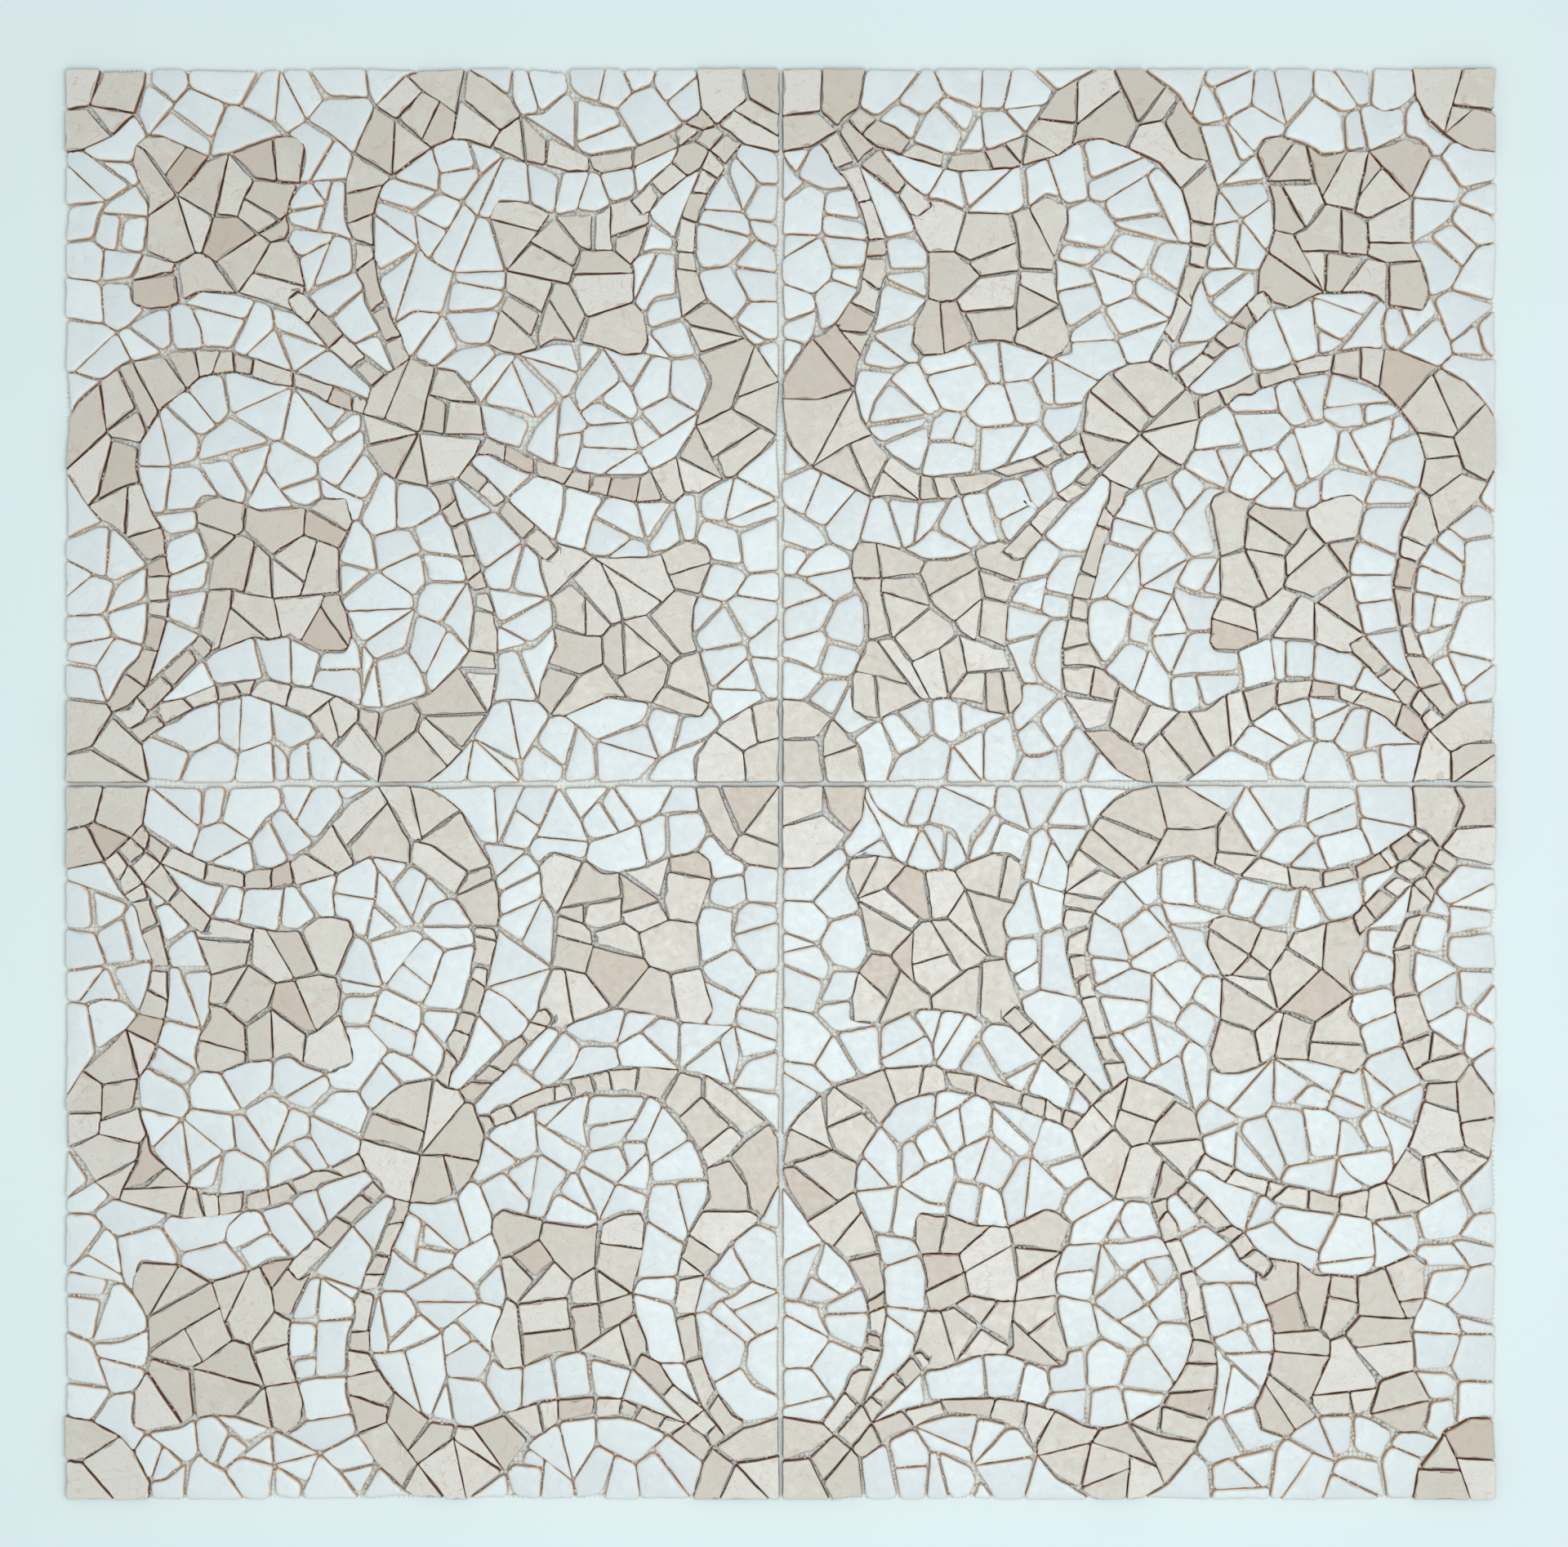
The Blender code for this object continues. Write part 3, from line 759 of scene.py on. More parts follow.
def flood(free: np.ndarray, start: Key) -> np.ndarray:
    """Return the part of a mask that is joined to a cell.

    Args:
        free: the mask.
        start: the cell.

    Returns:
        The joined part.
    """
    height, width = free.shape
    rows = np.cumsum(~free, axis=1) + np.arange(height)[:, None] * (width + 1)
    columns = np.cumsum(~free, axis=0) + np.arange(width)[None, :] * (height + 1)
    found = np.zeros_like(free)
    found[start] = free[start]
    size = 0
    while found.sum() > size:
        size = found.sum()
        for runs in (rows, columns):
            reached = np.zeros(runs.max() + 1, dtype=bool)
            reached[runs[found]] = True
            found = free & reached[runs]
    return found


def cells_of(stones: np.ndarray, total: int) -> Iterator[tuple[int, np.ndarray, np.ndarray]]:
    """Go through the stones that have any cells.

    Args:
        stones: the grid of stone numbers.
        total: how many stones there are.

    Yields:
        Each stone's number, with the rows and the columns of its cells.
    """
    order = np.argsort(stones, axis=None, kind="stable")
    bounds = np.searchsorted(stones.ravel()[order], np.arange(total + 1))
    for number in range(total):
        cells = order[bounds[number]:bounds[number + 1]]
        if len(cells):
            yield number, *np.divmod(cells, stones.shape[1])


def cropped(rows: np.ndarray, columns: np.ndarray) -> tuple[np.ndarray, int, int]:
    """Return a mask just large enough for some cells, with the row and the column where it starts."""
    top, left = int(rows.min()), int(columns.min())
    mask = np.zeros((int(rows.max()) - top + 1, int(columns.max()) - left + 1), dtype=bool)
    mask[rows - top, columns - left] = True
    return mask, top, left


@dataclass
class StoneBreaker:
    """Breaks the figures of a pattern into slabs round scattered sites, and the slabs by straight cuts."""

    pattern: SheetPattern
    chance: np.random.Generator
    slab_share: float = 1.75
    largest: float = 1.35
    largest_swing: Span = (0.7, 1.3)
    cut_shift: float = 0.09
    cut_swing: Span = (0.22, 0.6)
    long_shape: float = 1.45
    clear_share: float = 0.80
    evening_rounds: int = 2
    evening_share: float = 0.5
    weight: Span = (0.85, 1.18)

    def broken(self) -> tuple[np.ndarray, list[Figure]]:
        """Break every figure.

        Returns:
            The grid of stone numbers and the figure of each stone.
        """
        stones = np.full(self.pattern.figure.shape, NOTHING)
        owners: list[Figure] = []
        for figure in Figure:
            mask = self.pattern.figure == figure.number
            points = np.column_stack([self.pattern.across[mask], self.pattern.along[mask]])
            sizes = self.pattern.stone_size[mask]
            slabs = self.placed(points, sizes * self.slab_share, CUTS[marble_of(figure.part)].stretch)
            near = self.split(points, sizes, slabs)
            stones[mask] = near + len(owners)
            owners.extend([figure] * int(near.max() + 1))
        return self.joined(stones, len(owners)), owners

    def split(self, points: np.ndarray, sizes: np.ndarray, slabs: np.ndarray) -> np.ndarray:
        """Cut slabs across their length, again and again, until each stone is small enough.

        Args:
            points: the middles of the figure's cells.
            sizes: the size of a stone at each cell.
            slabs: the slab of each point.

        Returns:
            The number of the stone of each point.
        """
        waiting = [np.nonzero(slabs == number)[0] for number in range(int(slabs.max()) + 1)]
        made = np.zeros(len(points), dtype=int)
        total = 0
        while waiting:
            cells = waiting.pop()
            limit = sizes[cells].mean() ** 2 * self.largest * self.chance.uniform(*self.largest_swing)
            if len(cells) * self.pattern.cell ** 2 <= limit:
                made[cells] = total
                total += 1
                continue
            apart = points[cells] - points[cells].mean(axis=0)
            spread, axes = np.linalg.eigh(np.cov(apart.T))
            slender = math.sqrt(spread[1] / max(spread[0], 1e-12)) > self.long_shape
            turn = self.chance.normal(0.0, self.cut_swing[0 if slender else 1])
            long_x, long_y = axes[:, 1]
            way = (
                long_x * math.cos(turn) - long_y * math.sin(turn),
                long_x * math.sin(turn) + long_y * math.cos(turn),
            )
            along = apart @ np.array(way)
            beyond = along > self.chance.normal(0.0, self.cut_shift) * np.ptp(along)
            waiting += [cells[beyond], cells[~beyond]]
        return made

    def placed(self, points: np.ndarray, sizes: np.ndarray, stretch: Span) -> np.ndarray:
        """Throw sites on a figure, each clear of the ones before it, and even them out a little.

        Args:
            points: the middles of the figure's cells.
            sizes: the size of a stone at each cell.
            stretch: how much longer than wide a stone may be.

        Returns:
            The number of the nearest site for each point.
        """
        order = self.chance.permutation(len(points))
        left = points[order]
        sizes_left = sizes[order]
        sites = []
        while len(left):
            sites.append(left[0])
            clear = np.hypot(*(left - left[0]).T) > self.clear_share * sizes_left[0]
            left = left[clear]
            sizes_left = sizes_left[clear]
        spots = np.array(sites)
        turns = self.chance.uniform(0.0, math.pi, len(spots))
        long = self.chance.uniform(*stretch, len(spots))
        weights = self.chance.uniform(*self.weight, len(spots))
        owner = self.nearest(points, spots, turns, long, weights)
        for _ in range(self.evening_rounds):
            for number in range(len(spots)):
                own = points[owner == number]
                if len(own):
                    spots[number] += self.evening_share * (own.mean(axis=0) - spots[number])
            owner = self.nearest(points, spots, turns, long, weights)
        return owner

    def nearest(
        self, points: np.ndarray, spots: np.ndarray, turns: np.ndarray, long: np.ndarray, weights: np.ndarray
    ) -> np.ndarray:
        """Return the nearest site of each point, where each site reaches further along its own direction.

        Args:
            points: the points.
            spots: the sites.
            turns: the direction of each site.
            long: how much further it reaches that way than across.
            weights: how strongly it keeps its neighbours off.

        Returns:
            The number of the nearest site for each point.
        """
        best = np.full(len(points), np.inf)
        owner = np.zeros(len(points), dtype=int)
        for number, (spot, turn, length, weight) in enumerate(zip(spots, turns, long, weights)):
            apart = points - spot
            lengthwise = apart[:, 0] * math.cos(turn) + apart[:, 1] * math.sin(turn)
            crosswise = apart[:, 1] * math.cos(turn) - apart[:, 0] * math.sin(turn)
            distance = (lengthwise ** 2 / length + crosswise ** 2 * length) * weight
            closer = distance < best
            best[closer] = distance[closer]
            owner[closer] = number
        return owner

    def joined(self, stones: np.ndarray, total: int) -> np.ndarray:
        """Keep the main patch of each stone and give stray patches to a stone of the same figure beside them.

        Args:
            stones: the grid of stone numbers.
            total: how many stones there are.

        Returns:
            The tidied grid.
        """
        kept = np.full_like(stones, NOTHING)
        for number, rows, columns in cells_of(stones, total):
            patch, top, left = cropped(rows, columns)
            first = np.hypot(rows - rows.mean(), columns - columns.mean()).argmin()
            main = flood(patch, (rows[first] - top, columns[first] - left))
            window = kept[top:top + main.shape[0], left:left + main.shape[1]]
            window[main] = number
        figures = self.pattern.figure
        changed = True
        while changed:
            changed = False
            for step in STEPS:
                beside = shifted(kept, step, NOTHING)
                alike = shifted(figures, step, NOTHING) == figures
                take = (kept == NOTHING) & (beside != NOTHING) & (figures != NOTHING) & alike
                kept[take] = beside[take]
                changed = changed or bool(take.any())
        return kept


def trace_outline(mask: np.ndarray) -> list[tuple[Key, Key]]:
    """Trace a patch counter-clockwise.

    Args:
        mask: the patch.

    Returns:
        The corners of its outline, each with the cell outside the side that follows.
    """
    padded = np.pad(mask, 1)
    sides = (
        ((0, 0), (0, 1), (-1, 0)),
        ((0, 1), (1, 1), (0, 1)),
        ((1, 1), (1, 0), (1, 0)),
        ((1, 0), (0, 0), (0, -1)),
    )
    leaving: dict[Key, list[tuple[Key, Key]]] = {}
    for start, end, outside in sides:
        beside = shifted(padded, (-outside[0], -outside[1]), False)
        rows, columns = np.nonzero(padded & ~beside)
        for row, column in zip(rows.tolist(), columns.tolist()):
            begin = (row + start[0] - 1, column + start[1] - 1)
            stop = (row + end[0] - 1, column + end[1] - 1)
            cell = (row + outside[0] - 1, column + outside[1] - 1)
            leaving.setdefault(begin, []).append((stop, cell))
    loops = []
    while leaving:
        corner = next(iter(leaving))
        loop = []
        heading = (0, 1)
        while corner in leaving:
            choices = leaving[corner]
            left_turn = (corner[0] + heading[1], corner[1] - heading[0])
            picked = next((choice for choice in choices if choice[0] == left_turn), choices[0])
            choices.remove(picked)
            if not choices:
                del leaving[corner]
            loop.append((corner, picked[1]))
            heading = (picked[0][0] - corner[0], picked[0][1] - corner[1])
            corner = picked[0]
        loops.append(loop)
    return max(loops, key=len)


def sides_of(ring: list[Key]) -> list[tuple[Key, Key]]:
    """Return the sides of a ring, each as its two corners."""
    return list(zip(ring, ring[1:] + ring[:1]))


@dataclass
class JointNetwork:
    """The joints of a sheet: the corners where stones meet, and the ring of corners round each stone."""

    stones: np.ndarray
    total: int
    cell: float
    chance: np.random.Generator
    tolerance: float = 0.0023
    shortest_side: float = 0.0070
    unevenness: float = 0.0011
    rings: dict[int, list[Key]] = field(default_factory=dict)
    beside: dict[tuple[Key, Key], int] = field(default_factory=dict)
    place: dict[Key, np.ndarray] = field(default_factory=dict)

    def __post_init__(self) -> None:
        """Trace every stone and join corners that lie too close."""
        for number, rows, columns in cells_of(self.stones, self.total):
            self.rings[number] = self.trace_ring(rows, columns)
        keys = {key for ring in self.rings.values() for key in ring}
        self.place = {key: np.array(key[::-1], dtype=float) * self.cell for key in keys}
        self.merge_close_corners()
        for key in sorted(self.place):
            if self.edge_count(key) == 0:
                self.place[key] = self.place[key] + self.chance.normal(0.0, self.unevenness, 2)

    def owner(self, cell: Key) -> int:
        """Return the stone of a cell."""
        size = self.stones.shape[0]
        return int(self.stones[cell]) if 0 <= cell[0] < size and 0 <= cell[1] < size else NOTHING

    def trace_ring(self, rows: np.ndarray, columns: np.ndarray) -> list[Key]:
        """Return the corners where the neighbour of a stone changes, and those that its sides need.

        Args:
            rows: the rows of the stone's cells.
            columns: their columns.

        Returns:
            The ring of corners, counter-clockwise.
        """
        mask, top, left = cropped(rows, columns)
        outline = [
            ((corner[0] + top, corner[1] + left), (cell[0] + top, cell[1] + left))
            for corner, cell in trace_outline(mask)
        ]
        beside = [self.owner(cell) for _, cell in outline]
        changes = [i for i in range(len(outline)) if beside[i] != beside[i - 1]] or [0]
        ring: list[Key] = []
        for here, after in zip(changes, changes[1:] + [changes[0] + len(outline)]):
            run = [outline[i % len(outline)][0] for i in range(here, after + 1)]
            ring += [run[0]] + self.needed_corners(run)
        return ring

    def needed_corners(self, run: list[Key]) -> list[Key]:
        """Return the corners inside a run of an outline that it needs to keep its shape, the same both ways.

        Args:
            run: the run's corners.

        Returns:
            The needed ones between its ends.
        """
        if run[0] > run[-1]:
            return self.needed_corners(run[::-1])[::-1]
        corners = np.array(run, dtype=float) * self.cell
        chord = corners[-1] - corners[0]
        length = math.hypot(*chord)
        if len(run) < 3 or length == 0:
            return []
        apart = corners - corners[0]
        off = np.abs(chord[0] * apart[:, 1] - chord[1] * apart[:, 0]) / length
        worst = int(off.argmax())
        if off[worst] < self.tolerance:
            return []
        return self.needed_corners(run[:worst + 1]) + [run[worst]] + self.needed_corners(run[worst:])

    def edge_count(self, key: Key) -> int:
        """Tell on how many edges of the sheet a corner lies."""
        return sum(part in (0, self.stones.shape[0]) for part in key)

    def merge_close_corners(self) -> None:
        """Join corners that are nearer to each other than the shortest side of a stone."""
        leader = {key: key for key in self.place}

        def lead(key: Key) -> Key:
            """Follow a corner to the one that it is joined to."""
            while leader[key] != key:
                key = leader[key]
            return key

        sides = {side for ring in self.rings.values() for side in sides_of(ring)}
        lengths = {side: math.dist(self.place[side[0]], self.place[side[1]]) for side in sides}
        for here, after in sorted(sides, key=lambda side: (lengths[side], side)):
            kept, lost = sorted((lead(here), lead(after)), key=self.edge_count, reverse=True)
            near = math.dist(self.place[kept], self.place[lost]) < self.shortest_side
            if kept == lost or not near or self.edge_count(lost) == 2:
                continue
            if self.edge_count(kept) == self.edge_count(lost):
                self.place[kept] = (self.place[kept] + self.place[lost]) / 2
            leader[lost] = kept
        for number, ring in self.rings.items():
            merged = [lead(key) for key in ring]
            self.rings[number] = [key for i, key in enumerate(merged) if key != merged[i - 1]]

    def on_edge(self, first: np.ndarray, second: np.ndarray) -> bool:
        """Tell whether a side lies on the edge of the sheet.

        Args:
            first: one end.
            second: the other end.

        Returns:
            Whether both ends lie on the same edge.
        """
        far = self.stones.shape[0] * self.cell
        levels = [(axis, level) for axis in (0, 1) for level in (0.0, far)]
        return any(abs(first[a] - v) < self.cell and abs(second[a] - v) < self.cell for a, v in levels)


def inset_polygon(points: np.ndarray, insets: Sequence[float]) -> np.ndarray:
    """Move each side of a polygon inwards by its own amount, by less where the polygon is too small.

    Args:
        points: the corners, counter-clockwise.
        insets: how far each side moves, starting with the one after the first corner.

    Returns:
        The moved corners.
    """
    count = len(points)
    moved = points
    for share in INSET_SHARES:
        corners = []
        for i in range(count):
            before, corner, after = points[i - 1], points[i], points[(i + 1) % count]
            one = (corner - before) / math.dist(corner, before)
            two = (after - corner) / math.dist(after, corner)
            turn = one[0] * two[1] - one[1] * two[0]
            normal_one = np.array([-one[1], one[0]])
            normal_two = np.array([-two[1], two[0]])
            if abs(turn) < STRAIGHT_TURN:
                middle = normal_one + normal_two
                step = middle / max(math.hypot(*middle), 1e-6) * (insets[i - 1] + insets[i]) / 2 * share
                corners.append(corner + step)
                continue
            start = corner + normal_one * insets[i - 1] * share
            gap = corner + normal_two * insets[i] * share - start
            corners.append(start + one * (gap[0] * two[1] - gap[1] * two[0]) / turn)
        moved = np.array(corners)
        steps = np.roll(moved, -1, axis=0) - moved
        if ((steps * (np.roll(points, -1, axis=0) - points)).sum(axis=1) > 0).all():
            break
    return moved


def area_of(points: np.ndarray) -> float:
    """Return the signed area of a polygon."""
    after = np.roll(points, -1, axis=0)
    return float((points[:, 0] * after[:, 1] - points[:, 1] * after[:, 0]).sum() / 2)


def new_piece(
    name: str, vertices: Sequence[Sequence[float]], faces: list[tuple[int, ...]], material: bpy.types.Material
) -> bpy.types.Object:
    """Make a mesh object in the scene.

    Args:
        name: the object's name.
        vertices: its vertices.
        faces: its faces.
        material: its material.

    Returns:
        The new object.
    """
    mesh = bpy.data.meshes.new(name)
    mesh.from_pydata(vertices, [], faces)
    mesh.materials.append(material)
    piece = bpy.data.objects.new(name, mesh)
    bpy.context.collection.objects.link(piece)
    return piece


@dataclass
class StoneMesh:
    """The stones of one piece, gathered as one mesh."""

    signs: tuple[int, int]
    vertices: list[np.ndarray] = field(default_factory=list)
    faces: list[tuple[int, ...]] = field(default_factory=list)
    looks: list[np.ndarray] = field(default_factory=list)
    depths: list[np.ndarray] = field(default_factory=list)
    total: int = 0

    def add_face(self, corners: Sequence[int]) -> None:
        """Add a face, turned over on a mirrored sheet."""
        self.faces.append(tuple(corners) if self.signs[0] * self.signs[1] > 0 else tuple(corners)[::-1])

    def add_stone(self, rings: list[np.ndarray], depths: list[float], look: Colour) -> None:
        """Add one stone as a stack of rings, from its foot to its top.

        Args:
            rings: the rings, each with the same number of points.
            depths: how deep in the joint each ring lies, from 0 at the top to 1 at the foot.
            look: the stone's tone, warmth and texture.
        """
        count = len(rings[0])
        start = self.total
        for level in range(len(rings) - 1):
            low = start + level * count
            for i in range(count):
                j = (i + 1) % count
                self.add_face((low + i, low + j, low + count + j, low + count + i))
        top = start + (len(rings) - 1) * count
        middle = rings[-1].mean(axis=0)
        centre = top + count
        if fan_is_sound(rings[-1], middle):
            for i in range(count):
                self.add_face((top + i, top + (i + 1) % count, centre))
        else:
            self.add_face(range(top, top + count))
        self.add_face(range(start + count - 1, start - 1, -1))
        points = np.vstack([*rings, middle])
        self.vertices.append(points * (*self.signs, 1))
        self.looks.append(np.tile((*look, 1.0), (len(points), 1)))
        self.depths.append(np.repeat([*depths, depths[-1]], [count] * len(rings) + [1]))
        self.total += len(points)

    def finish(self, name: str, offset: Span, material: bpy.types.Material) -> bpy.types.Object:
        """Return the finished piece.

        Args:
            name: the piece's name.
            offset: where the sheet's corner lies.
            material: the stone's material.

        Returns:
            The new object.
        """
        places = np.vstack(self.vertices) + (*offset, 0.0)
        piece = new_piece(name, places.tolist(), self.faces, material)
        mesh = piece.data
        look = mesh.attributes.new("stone", "FLOAT_COLOR", "POINT")
        look.data.foreach_set("color", np.vstack(self.looks).ravel())
        # The depth drives the side stain and the painted shade deep in the joints of the marble material.
        depth = mesh.attributes.new("depth", "FLOAT", "POINT")
        depth.data.foreach_set("value", np.concatenate(self.depths))
        mesh.polygons.foreach_set("use_smooth", np.ones(len(mesh.polygons), dtype=bool))
        mesh.set_sharp_from_angle(angle=SHARP_ANGLE)
        mesh.update()
        return piece


def fan_is_sound(ring: np.ndarray, middle: np.ndarray) -> bool:
    """Tell whether every triangle from the middle to a side of the ring faces up."""
    one = ring - middle
    two = np.roll(one, -1, axis=0)
    return bool((one[:, 0] * two[:, 1] - one[:, 1] * two[:, 0] > 0).all())


@dataclass
class StonePlan:
    """The plan of one stone: a polygon with rounded corners and slightly uneven sides."""

    corners: np.ndarray
    cuts: np.ndarray
    corner_points: int
    swings: list[np.ndarray]

    def drawn(self, inset: float) -> np.ndarray:
        """Draw the outline, moved inwards.

        Args:
            inset: how far the sides move.

        Returns:
            The outline, with the same number of points for every inset.
        """
        corners = inset_polygon(self.corners, [inset] * len(self.corners)) if inset else self.corners
        sides = np.roll(corners, -1, axis=0) - corners
        lengths = np.hypot(*sides.T)
        cuts = np.minimum(self.cuts, LARGEST_CORNER_CUT * np.minimum(lengths, np.roll(lengths, 1)))
        shares = np.linspace(0.0, 1.0, self.corner_points)
        drawn = []
        for i, corner in enumerate(corners):
            out = sides[i] / lengths[i]
            begin = corner - sides[i - 1] / lengths[i - 1] * cuts[i]
            end = corner + out * cuts[i]
            for share in shares:
                drawn.append((1 - share) ** 2 * begin + 2 * share * (1 - share) * corner + share ** 2 * end)
            room = lengths[i] - cuts[i] - cuts[(i + 1) % len(corners)]
            normal = np.array([-out[1], out[0]])
            swings = self.swings[i]
            for number, swing in enumerate(swings):
                drawn.append(end + out * room * (number + 1) / (len(swings) + 1) + normal * swing)
        return np.array(drawn)


@dataclass
class StoneShaper:
    """Shapes single stones of one marble."""

    cut: StoneCut
    chance: np.random.Generator
    sheet_side: float
    foot_level: float = 0.0010
    top_level: float = 0.0107
    side_spacing: float = 0.0085
    smallest: float = 0.000035
    straight_sine: float = 0.13
    waist_flare: float = 0.0002
    foot_flare: float = 0.0005
    crown_share: float = 0.55
    waist_share: float = 0.45
    waist_depth: float = 0.55
    depth_gain: float = 1.1
    firm_share: float = 0.15
    largest_pull: float = 0.3
    edge_swing: Span = (0.7, 1.35)
    chip_swing: Span = (0.4, 1.2)
    foot_swing: Span = (-0.0002, 0.0003)

    def plan(self, points: np.ndarray, at_edge: list[bool]) -> StonePlan | None:
        """Plan a stone inside its share of the sheet.

        Args:
            points: the corners of its share.
            at_edge: which sides lie on the sheet's edge.

        Returns:
            The stone's plan, or nothing where there is no room for a stone.
        """
        points, at_edge = self.without_straight_corners(points, at_edge)
        if len(points) < 3:
            return None
        wide = self.chance.random(len(points)) < self.cut.wide_share
        narrow_draws = self.chance.uniform(*self.cut.half_joint, len(points))
        draws = np.where(wide, self.chance.uniform(*self.cut.wide_joint, len(points)), narrow_draws)
        setbacks = self.chance.uniform(*self.cut.setback, len(points))
        insets = [setback if edge else draw for draw, edge, setback in zip(draws, at_edge, setbacks)]
        corners = inset_polygon(points, insets)
        if area_of(corners) < self.smallest:
            return None
        middle = corners.mean(axis=0)
        inward = middle - corners
        reach = np.hypot(*inward.T)
        loose = self.chance.random(len(corners)) < self.cut.loose_share
        pull = self.chance.random(len(corners)) * self.cut.corner_gap * np.where(loose, 1.0, self.firm_share)
        pull = np.minimum(pull, self.largest_pull * reach)
        corners = corners + inward / reach[:, None] * pull[:, None]
        sides = np.roll(corners, -1, axis=0) - corners
        lengths = np.hypot(*sides.T)
        counts = [max(1, round(float(length) / self.side_spacing) - 1) for length in lengths]
        swings = [np.abs(self.chance.normal(0.0, self.cut.wobble, count)) for count in counts]
        cuts = self.chance.uniform(*self.cut.corner_cut, len(corners))
        return StonePlan(corners, cuts, self.cut.corner_points, swings)

    def without_straight_corners(
        self, points: np.ndarray, at_edge: list[bool]
    ) -> tuple[np.ndarray, list[bool]]:
        """Leave out the corners at which a stone's side hardly turns.

        Args:
            points: the corners.
            at_edge: which sides lie on the sheet's edge.

        Returns:
            The corners that are left, with their sides.
        """
        into = points - np.roll(points, 1, axis=0)
        out = np.roll(points, -1, axis=0) - points
        sine = (into[:, 0] * out[:, 1] - into[:, 1] * out[:, 0]) / (np.hypot(*into.T) * np.hypot(*out.T))
        kept = np.abs(sine) > self.straight_sine
        return points[kept], [edge for edge, keep in zip(at_edge, kept) if keep]

    def rings(self, plan: StonePlan) -> tuple[list[np.ndarray], list[float]]:
        """Raise a stone from its plan.

        Args:
            plan: the stone's plan.

        Returns:
            Its rings from the foot to the top, and the depth of each.
        """
        outline = plan.drawn(0.0)
        middle = outline.mean(axis=0)
        slope = self.chance.normal(0.0, self.cut.tilt, 2)
        lean = float(np.abs((outline - middle) @ slope).max())
        top = self.top_level - self.cut.sinking * self.chance.random() - lean - self.cut.dome
        scale = self.chance.uniform(*self.edge_swing)
        chips = np.where(self.chance.random(len(outline)) < self.cut.chip_chance, self.cut.chip_size, 0.0)
        chips = chips * self.chance.uniform(*self.chip_swing, len(outline))
        inward = middle - outline
        inward /= np.maximum(np.hypot(*inward.T), 1e-9)[:, None]
        height = top - self.foot_level
        rough = inward * self.chance.uniform(*self.foot_swing, len(outline))[:, None]
        foot = np.clip(plan.drawn(-self.foot_flare) + rough, 0.0, self.sheet_side)
        waist = np.clip(plan.drawn(-self.waist_flare) + rough, 0.0, self.sheet_side)
        made = [
            np.column_stack([foot, np.full(len(foot), self.foot_level)]),
            np.column_stack([waist, np.full(len(waist), self.foot_level + self.waist_share * height)]),
        ]
        # These depths drive the side stain and the painted shade deep in the joints of the marble material.
        depths = [1.0, self.waist_depth]
        for number, (inset, drop) in enumerate(self.cut.edge):
            moved = plan.drawn(inset * scale) + inward * (chips * (number in (1, 2)))[:, None]
            level = top + (moved - middle) @ slope - drop * scale - chips * (number in (0, 1))
            made.append(np.column_stack([moved, level]))
            depths.append(min(1.0, drop / height * self.depth_gain))
        inner = middle + (made[-1][:, :2] - middle) * self.crown_share
        level = top + (inner - middle) @ slope + self.cut.dome
        made.append(np.column_stack([inner, level]))
        depths.append(0.0)
        return made, depths

    def look(self) -> Colour:
        """Draw a stone's tone, warmth and texture."""
        return tuple(float(part) for part in self.chance.random(3))


